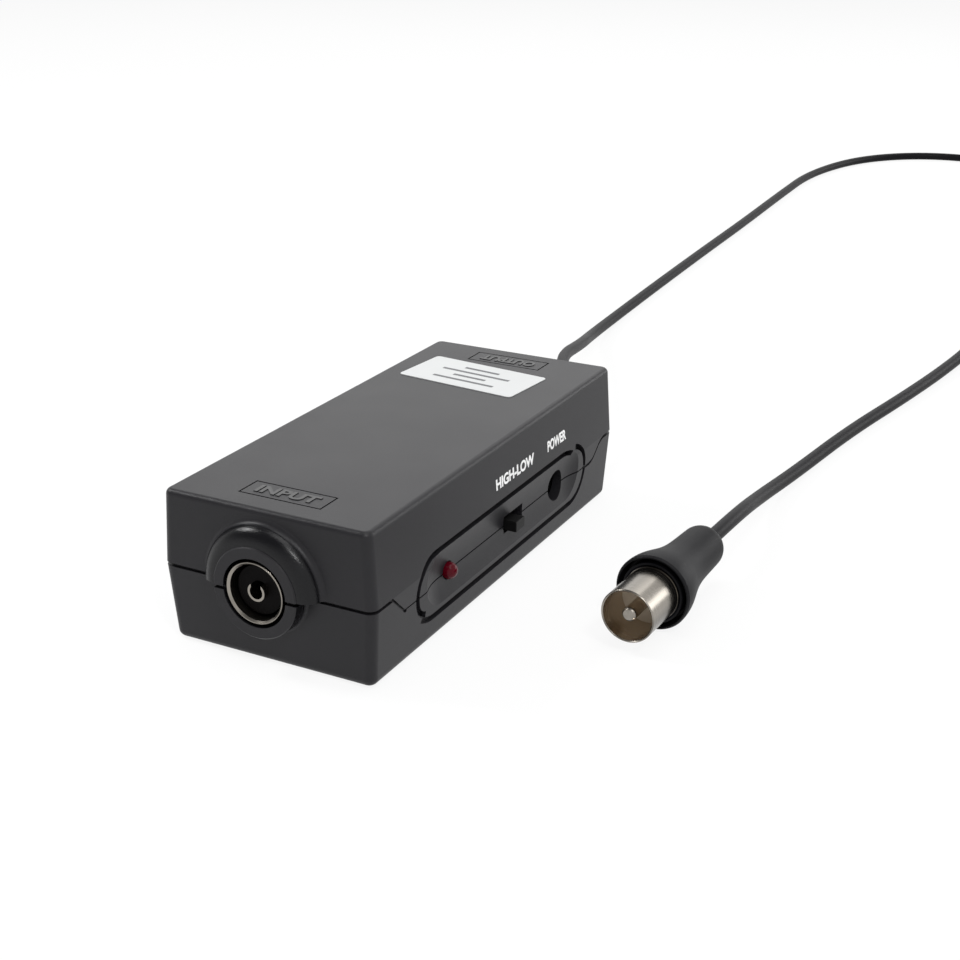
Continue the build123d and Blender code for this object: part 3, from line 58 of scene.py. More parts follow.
viewSizes = {
    "place": (133.99, -226.74, 123.87),
    "azimuth": 27.81,  # degrees round the object, 0 looks along +Y
    "elevation": 22.38,
    "lens": 58.405,
    "sensor": 36,
    "clip": (10, 20000),  # nearest and farthest that it sees
}


def makeCamera(sizes):
    camera = bpy.data.cameras.new("camera")
    camera.lens = sizes["lens"]
    camera.sensor_width = sizes["sensor"]
    camera.clip_start, camera.clip_end = inMetres(sizes["clip"])
    eye = bpy.data.objects.new("camera", camera)
    bpy.context.scene.collection.objects.link(eye)
    eye.location = inMetres(sizes["place"])
    eye.rotation_euler = (radians(90 - sizes["elevation"]), 0, radians(sizes["azimuth"]))
    bpy.context.scene.camera = eye


makeCamera(viewSizes)
print("camera placed")


# Plug, where the lead ends

plugSizes = {
    "tip": (49.75, -15.8),
    "axisHeight": 6.85,
    "yaw": 2.5,  # degrees, clockwise from +Y seen from above
    "length": 33.5,
    "sleeveRadius": 4.75,
    "boreRadius": 4.4,
    "endRun": 14.0,  # straight lead behind the plug
}
plugWay = (sin(radians(plugSizes["yaw"])), cos(radians(plugSizes["yaw"])), 0)


def alongPlug(distance):
    x, y = plugSizes["tip"]
    return (x + distance * plugWay[0], y + distance * plugWay[1], plugSizes["axisHeight"])


# Lead

leadSizes = {
    "diameter": 2.8,
    "length": 1277,  # whole free lead, from the box's strain relief to the plug
    "exit": (0, 57, seamHeight),
    "coilEntry": (68.5, 208.0),
    "coilRadius": 20.3,  # outermost turn
    "turnGap": 0.65,
    "lift": 0.85,  # of the coil above the surface
    "turnPoints": 16,
    "halfTurns": 4,
    "segments": 12,  # between two points of the route
    "roundness": 5,  # of its section
}
leadRest = leadSizes["diameter"] / 2  # height of its middle on the surface
coilX = leadSizes["coilEntry"][0]
coilPitch = leadSizes["diameter"] + leadSizes["turnGap"]
coilLow = leadRest + leadSizes["lift"]
coilHigh = coilLow + coilPitch

# from the box round to the coil
leadOut = [
    leadSizes["exit"],
    (0, 68, seamHeight),
    (-10.5, 87, 12.8),
    (-16.5, 112, 8),
    (-23.5, 134, 3.2),
    (-26.9, 156, leadRest),
    (-28.8, 189, leadRest),
    (-31.2, 237, leadRest),
    (-33.2, 285, leadRest),
    (-36, 335, leadRest),
    (-38, 380, leadRest),
    (-28, 420, leadRest),
    (-4, 441, leadRest),
    (28, 438, leadRest),
    (50, 412, leadRest),
    (59, 375, leadRest),
    (63.5, 335, leadRest),
    (65.5, 300, leadRest),
    (66, 270, leadRest),
    (coilX, 238, coilLow),
]
# from the coil to the plug
leadBack = [
    (coilX, 192, coilHigh),
    (66.4, 174, leadRest + 0.5),
    (63.9, 154, leadRest),
    (60.3, 130, leadRest),
    (54.9, 100, leadRest),
    (51.5, 70.4, leadRest),
    (50.3, 50, 3.2),
    alongPlug(plugSizes["length"] + plugSizes["endRun"]),
    alongPlug(plugSizes["length"]),
]


def coilPoints(sizes):
    # two flat spirals of half turns, one on the other, that climb where they reverse
    x, middle = sizes["coilEntry"]
    radius = sizes["coilRadius"]
    steps = sizes["turnPoints"] // 2
    side = 1
    points = []
    for half in range(2 * sizes["halfTurns"]):
        centre = x + side * radius
        for step in range(steps):
            share = (step + 0.5) / steps
            rise = 0
            if half == sizes["halfTurns"]:
                rise = share - sin(2 * pi * share) / (2 * pi)
            if half > sizes["halfTurns"]:
                rise = 1
            points.append(
                (
                    centre - side * radius * cos(pi * share),
                    middle - side * radius * sin(pi * share),
                    coilLow + coilPitch * rise,
                )
            )
        x = centre + side * radius
        side = -side
        radius += -coilPitch / 2 if half < sizes["halfTurns"] else coilPitch / 2
    return points


def makeLead(sizes):
    curve = bpy.data.curves.new("lead", "CURVE")
    curve.dimensions = "3D"
    spline = curve.splines.new("NURBS")
    route = leadOut + coilPoints(sizes) + leadBack
    spline.points.add(len(route) - 1)
    for point, place in zip(spline.points, route):
        point.co = (*inMetres(place), 1)
        point.radius = mm  # a curve's box grows by this, and the bevel is a multiple of it
    spline.order_u = 3  # keeps close to the points
    spline.use_endpoint_u = True
    spline.resolution_u = sizes["segments"]
    curve.bevel_depth = sizes["diameter"] / 2
    curve.bevel_resolution = sizes["roundness"]
    curve.use_fill_caps = True
    lead = bpy.data.objects.new("lead", curve)
    bpy.context.scene.collection.objects.link(lead)
    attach(lead, "amplifier")
    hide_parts("lead_from_box", "lead_coil", "lead_to_plug")
    return lead


lead = makeLead(leadSizes)
print("lead laid")


# Shared shader groups


def newGroup(name, inputs, outputs):
    group = bpy.data.node_groups.new(name, "ShaderNodeTree")
    for label, kind, value in inputs:
        socket = group.interface.new_socket(name=label, in_out="INPUT", socket_type=kind)
        socket.default_value = value
    for label, kind in outputs:
        group.interface.new_socket(name=label, in_out="OUTPUT", socket_type=kind)
    return group, group.nodes.new("NodeGroupInput"), group.nodes.new("NodeGroupOutput")


class Wiring:
    # short ways to add and join nodes of one tree

    def __init__(self, tree):
        self.tree = tree

    def node(self, kind, **settings):
        made = self.tree.nodes.new(kind)
        for name, value in settings.items():
            setattr(made, name, value)
        return made

    def feed(self, socket, value):
        if isinstance(value, bpy.types.NodeSocket):
            self.tree.links.new(value, socket)
        else:
            socket.default_value = value

    def math(self, operation, *values):
        made = self.node("ShaderNodeMath", operation=operation)
        for socket, value in zip(made.inputs, values):
            self.feed(socket, value)
        return made.outputs[0]

    def vector(self, operation, *values, output="Vector"):
        made = self.node("ShaderNodeVectorMath", operation=operation)
        for socket, value in zip(made.inputs, values):
            self.feed(socket, value)
        return made.outputs[output]

    def scale(self, vector, factor):
        made = self.node("ShaderNodeVectorMath", operation="SCALE")
        self.feed(made.inputs[0], vector)
        self.feed(made.inputs["Scale"], factor)
        return made.outputs["Vector"]

    def ramp(self, value, lowest, highest, start=0.0, end=1.0):
        made = self.node("ShaderNodeMapRange", interpolation_type="SMOOTHSTEP")
        for label, given in (
            ("Value", value),
            ("From Min", lowest),
            ("From Max", highest),
            ("To Min", start),
            ("To Max", end),
        ):
            self.feed(made.inputs[label], given)
        return made.outputs["Result"]

    def mix(self, factor, first, second):
        # a Mix node's colours are its inputs 6 and 7 and its output 2
        made = self.node("ShaderNodeMix", data_type="RGBA")
        self.feed(made.inputs["Factor"], factor)
        self.feed(made.inputs[6], first)
        self.feed(made.inputs[7], second)
        return made.outputs[2]

    def mixShaders(self, factor, first, second):
        made = self.node("ShaderNodeMixShader")
        for socket, value in zip(made.inputs, (factor, first, second)):
            self.feed(socket, value)
        return made.outputs[0]

    def noise(self, place, scale, detail=2.0):
        made = self.node("ShaderNodeTexNoise")
        self.feed(made.inputs["Vector"], place)
        self.feed(made.inputs["Scale"], scale)
        made.inputs["Detail"].default_value = detail
        return made.outputs["Fac"]

    def bump(self, height, distance):
        made = self.node("ShaderNodeBump")
        self.feed(made.inputs["Height"], height)
        self.feed(made.inputs["Distance"], distance)
        return made.outputs["Normal"]


surfaceOutputs = [
    ("Colour", "NodeSocketColor"),
    ("Roughness", "NodeSocketFloat"),
    ("Normal", "NodeSocketVector"),
]

mouldedSizes = {
    "cloudScale": 90.0,  # broad patches, a little lighter and rougher
    "cloudDetail": 4.0,
    "cloudSpan": (0.3, 0.7),
}


def makeMouldedGroup(sizes):
    # colour, roughness and fine grain of moulded plastic
    group, start, end = newGroup(
        "moulded plastic",
        [
            ("Colour", "NodeSocketColor", (0.03, 0.03, 0.032, 1)),
            ("Mottle", "NodeSocketFloat", 0.15),
            ("Roughness", "NodeSocketFloat", 0.45),
            ("Roughness Spread", "NodeSocketFloat", 0.08),
            ("Grain Scale", "NodeSocketFloat", 9000.0),
            ("Grain Depth", "NodeSocketFloat", 0.00002),
        ],
        surfaceOutputs,
    )
    wire = Wiring(group)
    given = start.outputs
    place = wire.node("ShaderNodeTexCoord").outputs["Object"]
    cloud = wire.noise(place, sizes["cloudScale"], sizes["cloudDetail"])
    lightest = wire.math("ADD", given["Mottle"], 1.0)
    shade = wire.ramp(cloud, *sizes["cloudSpan"], 1.0, lightest)
    wire.feed(end.inputs["Colour"], wire.scale(given["Colour"], shade))
    change = wire.math("SUBTRACT", cloud, 0.5)
    rough = wire.math("MULTIPLY_ADD", change, given["Roughness Spread"], given["Roughness"])
    wire.feed(end.inputs["Roughness"], rough)
    grain = wire.noise(place, given["Grain Scale"])
    wire.feed(end.inputs["Normal"], wire.bump(grain, given["Grain Depth"]))
    return group


turnedSizes = {
    "reflectionBandsRound": 3.0,
    "reflectionBandTurn": 2.6,  # radians, puts two broad painted reflection bands side by side on the upper side
    "reflectionBandSpan": (-0.2, 0.9),
    "ringSpread": 0.15,  # of the roughness, from ring to ring
    "filmColour": (0.004, 0.004, 0.005, 1),
}


def makeTurnedGroup(sizes):
    # plated metal turned about an axis: fine rings, soft lengthwise bands of painted reflection,
    # and a painted inside colour for the light and shade within the bore
    group, start, end = newGroup(
        "turned metal",
        [
            ("Colour", "NodeSocketColor", (0.6, 0.57, 0.52, 1)),
            ("Inside Painted Light", "NodeSocketColor", (0.06, 0.045, 0.03, 1)),
            ("Inner Radius", "NodeSocketFloat", 0.0),
            ("Inner Start", "NodeSocketFloat", 0.0),
            ("Bare Radius", "NodeSocketFloat", 1.0),
            ("Axis", "NodeSocketVector", (0, 1, 0)),
            ("Centre", "NodeSocketVector", (0, 0, 0)),
            ("Reflection Band Depth", "NodeSocketFloat", 0.35),
            ("Roughness", "NodeSocketFloat", 0.25),
            ("Ring Scale", "NodeSocketFloat", 9000.0),
            ("Ring Depth", "NodeSocketFloat", 0.000003),
        ],
        surfaceOutputs,
    )
    wire = Wiring(group)
    given = start.outputs
    place = wire.node("ShaderNodeTexCoord").outputs["Object"]
    fromCentre = wire.vector("SUBTRACT", place, given["Centre"])
    depth = wire.vector("DOT_PRODUCT", fromCentre, given["Axis"], output="Value")
    across = wire.vector("SUBTRACT", fromCentre, wire.scale(given["Axis"], depth))
    radius = wire.vector("LENGTH", across, output="Value")
    sideWay = wire.vector("CROSS_PRODUCT", given["Axis"], (0, 0, 1))
    sideReach = wire.vector("DOT_PRODUCT", across, sideWay, output="Value")
    upReach = wire.vector("DOT_PRODUCT", across, (0, 0, 1), output="Value")
    angle = wire.math("ARCTAN2", upReach, sideReach)
    # painted reflections: lighter and darker bands round the axis stand in for reflected studio
    # panels
    turn = wire.math("MULTIPLY_ADD", angle, sizes["reflectionBandsRound"], sizes["reflectionBandTurn"])
    reflectionDarkest = wire.math("SUBTRACT", 1.0, given["Reflection Band Depth"])
    reflectionFade = wire.ramp(wire.math("SINE", turn), *sizes["reflectionBandSpan"], 1.0, reflectionDarkest)
    reflectionBanded = wire.scale(given["Colour"], reflectionFade)
    # painted inside colour: within the inner radius and past the inner start, the metal takes a
    # colour that stands for the shade and reflections in the bore
    beyond = wire.math("GREATER_THAN", radius, given["Inner Radius"])
    deep = wire.math("GREATER_THAN", depth, given["Inner Start"])
    inside = wire.math("MULTIPLY", wire.math("SUBTRACT", 1.0, beyond), deep)
    withPaintedLight = wire.mix(inside, reflectionBanded, given["Inside Painted Light"])
    # beyond the bare radius the metal is under a film of the grip's plastic
    covered = wire.math("GREATER_THAN", radius, given["Bare Radius"])
    wire.feed(end.inputs["Colour"], wire.mix(covered, withPaintedLight, sizes["filmColour"]))
    rings = wire.node("ShaderNodeTexNoise", noise_dimensions="1D")
    wire.feed(rings.inputs["W"], depth)
    wire.feed(rings.inputs["Scale"], given["Ring Scale"])
    rings.inputs["Detail"].default_value = 2
    change = wire.math("SUBTRACT", rings.outputs["Fac"], 0.5)
    rough = wire.math("MULTIPLY_ADD", change, sizes["ringSpread"], given["Roughness"])
    wire.feed(end.inputs["Roughness"], rough)
    wire.feed(end.inputs["Normal"], wire.bump(rings.outputs["Fac"], given["Ring Depth"]))
    return group


mouldedGroup = makeMouldedGroup(mouldedSizes)
turnedGroup = makeTurnedGroup(turnedSizes)


# Materials


def newMaterial(name):
    material = bpy.data.materials.new(name)
    material.use_nodes = True
    tree = material.node_tree
    return material, tree, tree.nodes["Principled BSDF"]


def placeGroup(tree, shader, group, values):
    placed = tree.nodes.new("ShaderNodeGroup")
    placed.node_tree = group
    for label, value in values.items():
        placed.inputs[label].default_value = value
    tree.links.new(placed.outputs["Colour"], shader.inputs["Base Color"])
    tree.links.new(placed.outputs["Roughness"], shader.inputs["Roughness"])
    tree.links.new(placed.outputs["Normal"], shader.inputs["Normal"])


def mouldedMaterial(
    name,
    colour,
    roughness,
    grain=1e-5,
    scale=9000.0,
    mottle=0.15,
    specular=0.5,
    coat=0.0,
    coatRoughness=0.04,
):
    material, tree, shader = newMaterial(name)
    placeGroup(
        tree,
        shader,
        mouldedGroup,
        {
            "Colour": (*colour, 1),
            "Mottle": mottle,
            "Roughness": roughness,
            "Grain Scale": scale,
            "Grain Depth": grain,
        },
    )
    shader.inputs["Specular IOR Level"].default_value = specular
    shader.inputs["Coat Weight"].default_value = coat
    shader.inputs["Coat Roughness"].default_value = coatRoughness
    return material


def metalMaterial(name, colour, roughness):
    material = mouldedMaterial(name, colour, roughness, grain=3e-6, scale=4000.0, mottle=0.08)
    material.node_tree.nodes["Principled BSDF"].inputs["Metallic"].default_value = 1
    return material


def turnedMaterial(name, look):
    material, tree, shader = newMaterial(name)
    placeGroup(
        tree,
        shader,
        turnedGroup,
        {
            "Colour": (*look["colour"], 1),
            "Inside Painted Light": (*look["insidePaintedLight"], 1),
            "Inner Radius": look["innerRadius"] * mm,
            "Inner Start": look["innerStart"] * mm,
            "Bare Radius": look["bareRadius"] * mm,
            "Axis": look["axis"],
            "Centre": inMetres(look["centre"]),
            "Reflection Band Depth": look["reflectionBandDepth"],
            "Roughness": look["roughness"],
        },
    )
    shader.inputs["Metallic"].default_value = 1
    return material


caseLook = {
    "colour": (0.0115, 0.0111, 0.013),
    "roughness": 0.42,
    "specular": 0.24,
    "grainDepth": 1.6e-5,  # metres, as for every grain
    "grainScale": 5200.0,
    "frontPlane": -46.3,  # the collar's bulge, between these planes, is polished and painted darker as painted shade
    "lipPlane": -48.75,
    "frontFade": 0.5,
    "lipFade": 0.1,
    "collarPaintedShade": (0.004, 0.004, 0.005, 1),
    "collarRoughness": 0.22,
    "collarGrain": 3.5e-5,
}


def caseMaterial(look):
    # satin plastic, polished where the collar stands out of the front and painted darker there as
    # painted shade
    material = mouldedMaterial(
        "case plastic",
        look["colour"],
        look["roughness"],
        grain=look["grainDepth"],
        scale=look["grainScale"],
        specular=look["specular"],
    )
    tree = material.node_tree
    wire = Wiring(tree)
    shader = tree.nodes["Principled BSDF"]
    plain = next(node for node in tree.nodes if node.type == "GROUP")
    split = wire.node("ShaderNodeSeparateXYZ")
    wire.feed(split.inputs[0], wire.node("ShaderNodeTexCoord").outputs["Object"])
    y = split.outputs["Y"]
    front = look["frontPlane"] * mm
    lip = look["lipPlane"] * mm
    ahead = wire.ramp(y, front, front - look["frontFade"] * mm)
    behindLip = wire.ramp(y, lip - look["lipFade"] * mm, lip)
    collar = wire.math("MULTIPLY", ahead, behindLip)
    # painted shade: the polished bulge takes a darker colour than the rest of the same plastic
    colour = wire.mix(collar, plain.outputs["Colour"], look["collarPaintedShade"])
    wire.feed(shader.inputs["Base Color"], colour)
    grainChange = look["collarGrain"] - look["grainDepth"]
    grain = wire.math("MULTIPLY_ADD", collar, grainChange, look["grainDepth"])
    wire.feed(plain.inputs["Grain Depth"], grain)
    roughChange = look["collarRoughness"] - look["roughness"]
    rough = wire.math("MULTIPLY_ADD", collar, roughChange, plain.outputs["Roughness"])
    wire.feed(shader.inputs["Roughness"], rough)
    return material


nickel = (0.29, 0.268, 0.237)
# painted reflection: the insulator's brown as it is reflected inside the plug's bore and on its
# pin
insulatorReflectionBrown = (0.57, 0.49, 0.4)
blackPlastic = (0.003, 0.003, 0.003)

socketSleeveLook = {
    "colour": nickel,
    # painted highlight: the inside wall is painted far lighter than the nickel outside
    "insidePaintedLight": (0.9, 0.88, 0.85),
    "innerRadius": 4.95,
    "innerStart": 0,
    "bareRadius": 1000,  # bare all over
    "axis": (0, 1, 0),
    "centre": (0, 0, seamHeight),
    "reflectionBandDepth": 0.2,
    "roughness": 0.28,
}
plugSleeveLook = {
    "colour": nickel,
    "insidePaintedLight": insulatorReflectionBrown,
    "innerRadius": plugSizes["boreRadius"] + 0.05,
    "innerStart": 0.2,
    "bareRadius": plugSizes["sleeveRadius"] + 0.06,
    "axis": plugWay,
    "centre": alongPlug(0),
    "reflectionBandDepth": 0.45,
    "roughness": 0.24,
}
plugPinLook = {
    "colour": nickel,
    "insidePaintedLight": insulatorReflectionBrown,
    "innerRadius": 1.3,
    "innerStart": 1.3,
    "bareRadius": 1000,
    "axis": plugWay,
    "centre": alongPlug(0),
    "reflectionBandDepth": 0.1,
    "roughness": 0.3,
}

# one finish for each material slot
finishes = {
    "case": caseMaterial(caseLook),
    "grip": mouldedMaterial("grip plastic", (0.0035, 0.0034, 0.0045), 0.52, specular=0.13),
    "lead": mouldedMaterial(
        "lead jacket", (0.004, 0.0039, 0.005), 0.45, grain=5e-6, scale=3000.0, specular=0.09
    ),
    "nickel": metalMaterial("nickel plate", nickel, 0.22),
    "steel": metalMaterial("switch steel", (0.6, 0.6, 0.6), 0.35),
    "zinc": metalMaterial("zinc plate", (0.5, 0.5, 0.52), 0.38),
    "tinned": metalMaterial("tinned metal", (0.72, 0.72, 0.7), 0.3),
    "insulator": mouldedMaterial("socket plastic", (0.0035, 0.003, 0.003), 0.5, specular=0.04),
    "plug_insulator": mouldedMaterial("plug disk plastic", (0.47, 0.41, 0.33), 0.4),
    "red_light": mouldedMaterial(
        "red lens", (0.06, 0.0, 0.004), 0.05, grain=0.0, mottle=0.4, specular=0.1, coat=0.08
    ),
    "knob": mouldedMaterial("knob plastic", blackPlastic, 0.45, specular=0.12),
    "jack": mouldedMaterial("jack plastic", blackPlastic, 0.4, specular=0.12),
    "phenolic": mouldedMaterial("switch laminate", (0.32, 0.17, 0.07), 0.5),
    "board": mouldedMaterial("board lacquer", (0.02, 0.16, 0.06), 0.25),
    "chip": mouldedMaterial("chip plastic", (0.03, 0.03, 0.033), 0.5),
    "ceramic": mouldedMaterial("capacitor ceramic", (0.5, 0.33, 0.18), 0.4),
    "resistor": mouldedMaterial("resistor glaze", (0.03, 0.03, 0.03), 0.3),
    "can": metalMaterial("capacitor can", (0.7, 0.7, 0.72), 0.3),
    "ferrite": mouldedMaterial("choke ferrite", (0.07, 0.07, 0.075), 0.6),
    "copper": metalMaterial("copper", (0.72, 0.36, 0.2), 0.32),
    "foam": mouldedMaterial("core foam", (0.85, 0.85, 0.82), 0.6),
    "label": mouldedMaterial("label paper", (0.52, 0.53, 0.53), 0.5, grain=4e-6, mottle=0.03),
    "tie": mouldedMaterial("tie plastic", (0.02, 0.02, 0.02), 0.4),
}
# turned pieces, whose finish turns about their own axis
ownFinishes = {
    "socket_sleeve": turnedMaterial("socket sleeve nickel", socketSleeveLook),
    "plug_sleeve": turnedMaterial("plug sleeve nickel", plugSleeveLook),
    "plug_pin": turnedMaterial("plug pin nickel", plugPinLook),
}


def dressNodes():
    slotOf = {part["node"]: part["material_slot"] for part in frame["record"]["subparts"]}
    for name, node in nodes.items():
        node.data.materials.clear()
        node.data.materials.append(ownFinishes.get(name, finishes[slotOf[name]]))


dressNodes()
lead.data.materials.append(finishes["lead"])
print("materials set")


# Words on the box

wordFinish = mouldedMaterial("white print", (0.88, 0.88, 0.88), 0.5, grain=3e-6, mottle=0.05)
reliefFinish = mouldedMaterial("raised letters", (0.004, 0.004, 0.0045), 0.3, specular=0.3)

wordSizes = {
    "weight": 0.036,  # how much bolder than the plain face, in letter heights
    "smoothness": 6,
    "sideDraft": 3.5,  # degrees that the upper walls lean in
    "sideFace": 20.25,  # x of the side wall at the seam
}
# each word's width, then where its middle is: y and z on the side, or y and a turn on the top
printedWords = {
    "height": 2.1,
    "thickness": 0.03,
    "words": {
        "level_words": ("HIGH-LOW", 15.0, 3.1, 19.9),
        "power_word": ("POWER", 8.0, 20.3, 20.0),
    },
}
raisedWords = {
    "height": 2.7,
    "thickness": 0.12,
    "words": {
        "input_word": ("INPUT", 11.6, -38.4, 0),
        "output_word": ("OUTPUT", 11.6, 39.4, 180),
    },
}


def makeWord(name, word, width, sizes, toPlace, finish):
    # a word drawn flat round the origin, then set to its width and height and put in place
    letters = bpy.data.curves.new(name, "FONT")
    letters.body = word
    letters.align_x = "CENTER"
    letters.align_y = "CENTER"
    letters.offset = wordSizes["weight"]
    letters.extrude = 0.5  # each way, so that the letters are 1 thick
    letters.resolution_u = wordSizes["smoothness"]
    drawn = bpy.data.objects.new(name, letters)
    bpy.context.scene.collection.objects.link(drawn)
    bpy.context.view_layer.update()
    finished = drawn.evaluated_get(bpy.context.evaluated_depsgraph_get())
    mesh = bpy.data.meshes.new_from_object(finished)
    bpy.data.objects.remove(drawn)
    reach = [[corner.co[axis] for corner in mesh.vertices] for axis in (0, 1)]
    spans = [max(values) - min(values) for values in reach]
    middles = [(max(values) + min(values)) / 2 for values in reach]
    growth = (width * mm / spans[0], sizes["height"] * mm / spans[1], sizes["thickness"] * mm, 1)
    mesh.transform(Matrix.Translation((-middles[0], -middles[1], 0.5)))
    mesh.transform(Matrix.Diagonal(growth))
    mesh.transform(toPlace)
    mesh.materials.clear()
    mesh.materials.append(finish)
    piece = bpy.data.objects.new(name, mesh)
    bpy.context.scene.collection.objects.link(piece)
    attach(piece, "amplifier")


def sidePlace(y, z):
    lean = radians(wordSizes["sideDraft"])
    x = wordSizes["sideFace"] - tan(lean) * (z - seamHeight)
    right = Vector((0, 1, 0))
    up = Vector((-sin(lean), 0, cos(lean)))
    out = Vector((cos(lean), 0, sin(lean)))
    turned = Matrix((right, up, out)).transposed().to_4x4()
    return Matrix.Translation(Vector((x, y, z)) * mm) @ turned


def topPlace(y, turn):
    place = Vector((0, y, boxTop)) * mm
    return Matrix.Translation(place) @ Matrix.Rotation(radians(turn), 4, "Z")


for name, (word, width, y, z) in printedWords["words"].items():
    makeWord(name, word, width, printedWords, sidePlace(y, z), wordFinish)
for name, (word, width, y, turn) in raisedWords["words"].items():
    makeWord(name, word, width, raisedWords, topPlace(y, turn), reliefFinish)
print("words made")


# Grey rows on the sticker

greyInk = mouldedMaterial("grey ink", (0.09, 0.095, 0.1), 0.5, grain=2e-6, mottle=0.1)

rowSizes = {
    "rows": 4,
    "pitch": 2.3,
    "length": 17.0,  # of the longest row
    "shortest": 0.35,  # share of the longest
    "width": 0.8,
    "thickness": 0.02,
    "seed": 4,
    "middle": (-1.8, 27.6),
    "turn": -5.7,  # degrees
    "height": boxTop + 0.13,  # just above the sticker
}


def makeRowsTree():
    # rows of thin bars of random length, side by side along Y
    tree = bpy.data.node_groups.new("printed rows", "GeometryNodeTree")
    for label, kind in (
        ("Rows", "NodeSocketInt"),
        ("Pitch", "NodeSocketFloat"),
        ("Longest", "NodeSocketFloat"),
        ("Shortest", "NodeSocketFloat"),
        ("Width", "NodeSocketFloat"),
        ("Thickness", "NodeSocketFloat"),
        ("Seed", "NodeSocketInt"),
        ("Ink", "NodeSocketMaterial"),
    ):
        tree.interface.new_socket(name=label, in_out="INPUT", socket_type=kind)
    tree.interface.new_socket(name="Rows", in_out="OUTPUT", socket_type="NodeSocketGeometry")
    wire = Wiring(tree)
    given = wire.node("NodeGroupInput").outputs
    gaps = wire.math("SUBTRACT", given["Rows"], 1)
    start = wire.node("ShaderNodeCombineXYZ")
    halfBack = wire.math("MULTIPLY", given["Pitch"], -0.5)
    wire.feed(start.inputs["Y"], wire.math("MULTIPLY", gaps, halfBack))
    step = wire.node("ShaderNodeCombineXYZ")
    wire.feed(step.inputs["Y"], given["Pitch"])
    line = wire.node("GeometryNodeMeshLine")
    wire.feed(line.inputs["Count"], given["Rows"])
    wire.feed(line.inputs["Start Location"], start.outputs[0])
    wire.feed(line.inputs["Offset"], step.outputs[0])
    # the float sockets of a Random Value node are its inputs 2 and 3 and its output 1
    chance = wire.node("FunctionNodeRandomValue", data_type="FLOAT")
    wire.feed(chance.inputs[2], given["Shortest"])
    wire.feed(chance.inputs[3], 1.0)
    wire.feed(chance.inputs["Seed"], given["Seed"])
    size = wire.node("ShaderNodeCombineXYZ")
    wire.feed(size.inputs["X"], wire.math("MULTIPLY", chance.outputs[1], given["Longest"]))
    wire.feed(size.inputs["Y"], given["Width"])
    wire.feed(size.inputs["Z"], given["Thickness"])
    bar = wire.node("GeometryNodeMeshCube")
    placed = wire.node("GeometryNodeInstanceOnPoints")
    wire.feed(placed.inputs["Points"], line.outputs["Mesh"])
    wire.feed(placed.inputs["Instance"], bar.outputs["Mesh"])
    wire.feed(placed.inputs["Scale"], size.outputs[0])
    real = wire.node("GeometryNodeRealizeInstances")
    wire.feed(real.inputs[0], placed.outputs[0])
    inked = wire.node("GeometryNodeSetMaterial")
    wire.feed(inked.inputs["Geometry"], real.outputs[0])
    wire.feed(inked.inputs["Material"], given["Ink"])
    wire.feed(wire.node("NodeGroupOutput").inputs[0], inked.outputs[0])
    return tree


def makeRows(sizes):
    carrier = bpy.data.objects.new("label_rows", bpy.data.meshes.new("label_rows"))
    bpy.context.scene.collection.objects.link(carrier)
    growth = carrier.modifiers.new("rows", "NODES")
    growth.node_group = makeRowsTree()
    values = {
        "Rows": sizes["rows"],
        "Pitch": sizes["pitch"] * mm,
        "Longest": sizes["length"] * mm,
        "Shortest": sizes["shortest"],
        "Width": sizes["width"] * mm,
        "Thickness": sizes["thickness"] * mm,
        "Seed": sizes["seed"],
        "Ink": greyInk,
    }
    for socket in growth.node_group.interface.items_tree:
        if socket.in_out == "INPUT":
            growth[socket.identifier] = values[socket.name]
    bpy.context.view_layer.update()
    finished = carrier.evaluated_get(bpy.context.evaluated_depsgraph_get())
    mesh = bpy.data.meshes.new_from_object(finished)
    carrier.modifiers.remove(growth)
    mesh.transform(Matrix.Rotation(radians(sizes["turn"]), 4, "Z"))
    mesh.transform(Matrix.Translation(Vector((*sizes["middle"], sizes["height"])) * mm))
    carrier.data = mesh
    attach(carrier, "amplifier")


makeRows(rowSizes)
print("rows printed")


# Floor and light

roomSizes = {
    "floor": 3000.0,  # from the middle to each edge
    "floorDrop": 0.2,  # below the faces that the object stands on
    "floorWhite": 0.9,
    "floorRoughness": 0.9,
    "shadowShare": 0.12,  # of the floor's own shading in what the camera sees
    "ambient": 0.5,
    "darkWay": (-0.43, -0.36, 0.83),  # gloss sees a dark patch of the studio this way
    "darkSpan": (0.45, 0.85),  # cosines to that way where the patch starts and is full
    "darkShare": 0.8,
}
# metres and watts, width first
lamps = {
    "back panel": {
        "place": (-0.25, 0.75, 0.5), "aim": (0, 0, 0.01), "size": (0.9, 0.5), "watts": 1.7
    },
    "top panel": {
        "place": (0.1, 0.0, 0.8), "aim": (0, 0, 0), "size": (0.5, 0.5), "watts": 2
    },
    "right panel": {
        "place": (0.5, 0.75, 0.17), "aim": (0, 0, 0.01), "size": (0.6, 0.25), "watts": 1.5
    },
    "left spark": {
        "place": (-0.57, -0.1, 0.56), "aim": (0, -0.05, 0.02), "size": (0.2, 0.12), "watts": 3
    },
    "right spark": {
        "place": (0.42, -0.34, 0.62), "aim": (0, -0.05, 0.02), "size": (0.12, 0.12), "watts": 2.2
    },
}


def seenDirectly(wire):
    # 1 for rays from the camera, from gloss or through glass, otherwise 0
    path = wire.node("ShaderNodeLightPath").outputs
    seen = wire.math("MAXIMUM", path["Is Camera Ray"], path["Is Glossy Ray"])
    return wire.math("MAXIMUM", seen, path["Is Transmission Ray"])


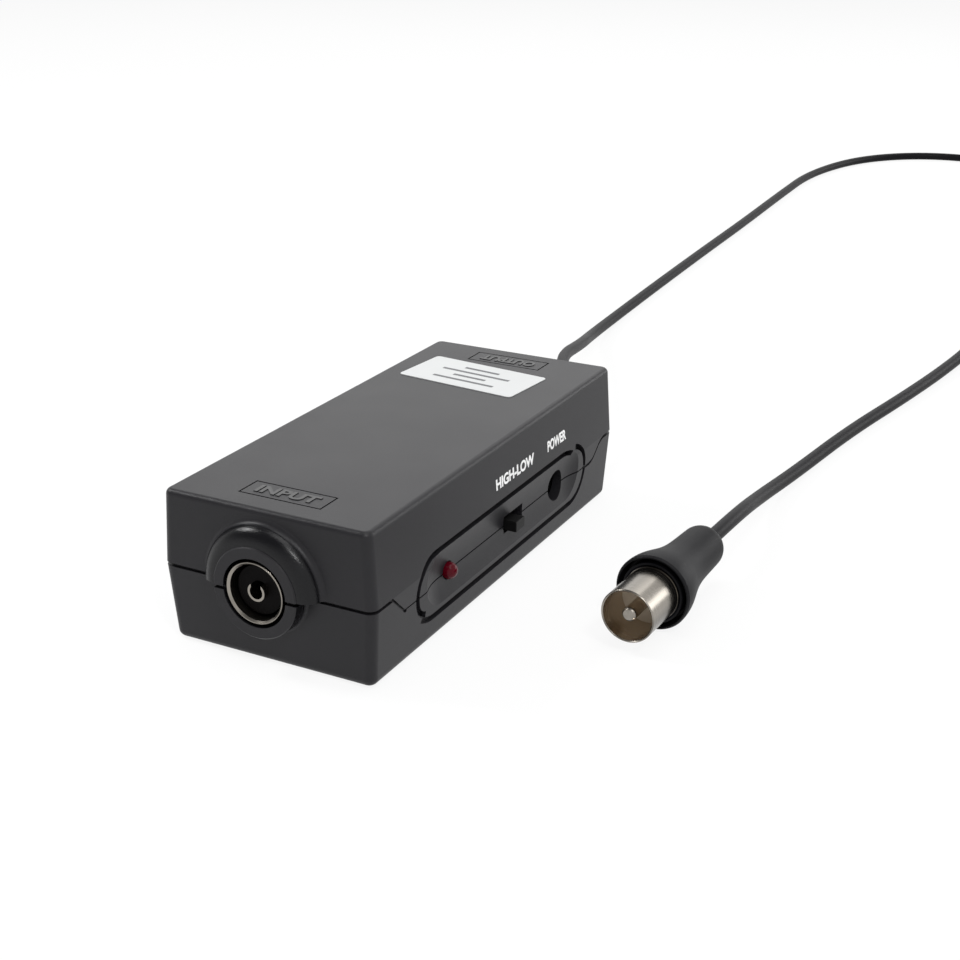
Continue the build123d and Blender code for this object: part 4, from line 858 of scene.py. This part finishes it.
def makeFloor(sizes):
    mesh = bpy.data.meshes.new("floor")
    half = sizes["floor"] * mm
    corners = [(-half, -half, 0), (half, -half, 0), (half, half, 0), (-half, half, 0)]
    mesh.from_pydata(corners, [], [(0, 1, 2, 3)])
    floor = bpy.data.objects.new("floor", mesh)
    bpy.context.scene.collection.objects.link(floor)
    floor.location.z = -sizes["floorDrop"] * mm
    material, tree, shader = newMaterial("white floor")
    shader.inputs["Base Color"].default_value = (*[sizes["floorWhite"]] * 3, 1)
    shader.inputs["Roughness"].default_value = sizes["floorRoughness"]
    shader.inputs["Specular IOR Level"].default_value = 0.0
    wire = Wiring(tree)
    glow = wire.node("ShaderNodeEmission")
    glow.inputs["Strength"].default_value = 1.0
    glowShare = wire.math("MULTIPLY", seenDirectly(wire), 1 - sizes["shadowShare"])
    both = wire.mixShaders(glowShare, shader.outputs[0], glow.outputs[0])
    wire.feed(tree.nodes["Material Output"].inputs["Surface"], both)
    mesh.materials.append(material)


def makeSky(sizes):
    world = bpy.data.worlds.new("studio")
    bpy.context.scene.world = world
    world.use_nodes = True
    tree = world.node_tree
    wire = Wiring(tree)
    soft = tree.nodes["Background"]
    plain = wire.node("ShaderNodeBackground")
    for sky in (soft, plain):
        sky.inputs["Color"].default_value = (1, 1, 1, 1)
    soft.inputs["Strength"].default_value = sizes["ambient"]
    way = wire.node("ShaderNodeTexCoord").outputs["Generated"]
    darkWay = Vector(sizes["darkWay"]).normalized()
    toDark = wire.vector("DOT_PRODUCT", way, darkWay, output="Value")
    patch = wire.ramp(toDark, *sizes["darkSpan"], 0.0, sizes["darkShare"])
    gloss = wire.node("ShaderNodeLightPath").outputs["Is Glossy Ray"]
    dark = wire.math("MULTIPLY", gloss, patch)
    wire.feed(plain.inputs["Strength"], wire.math("SUBTRACT", 1.0, dark))
    both = wire.mixShaders(seenDirectly(wire), soft.outputs[0], plain.outputs[0])
    wire.feed(tree.nodes["World Output"].inputs["Surface"], both)


def addLamp(name, lamp):
    light = bpy.data.lights.new(name, "AREA")
    light.shape = "RECTANGLE"
    light.size, light.size_y = lamp["size"]
    light.energy = lamp["watts"]
    panel = bpy.data.objects.new(name, light)
    bpy.context.scene.collection.objects.link(panel)
    panel.location = lamp["place"]
    way = Vector(lamp["aim"]) - Vector(lamp["place"])
    panel.rotation_euler = way.to_track_quat("-Z", "Y").to_euler()
    panel.visible_camera = False


makeFloor(roomSizes)
makeSky(roomSizes)
for name, lamp in lamps.items():
    addLamp(name, lamp)

bpy.context.scene.view_settings.view_transform = "Standard"
print("room lit")

bpy.context.view_layer.update()
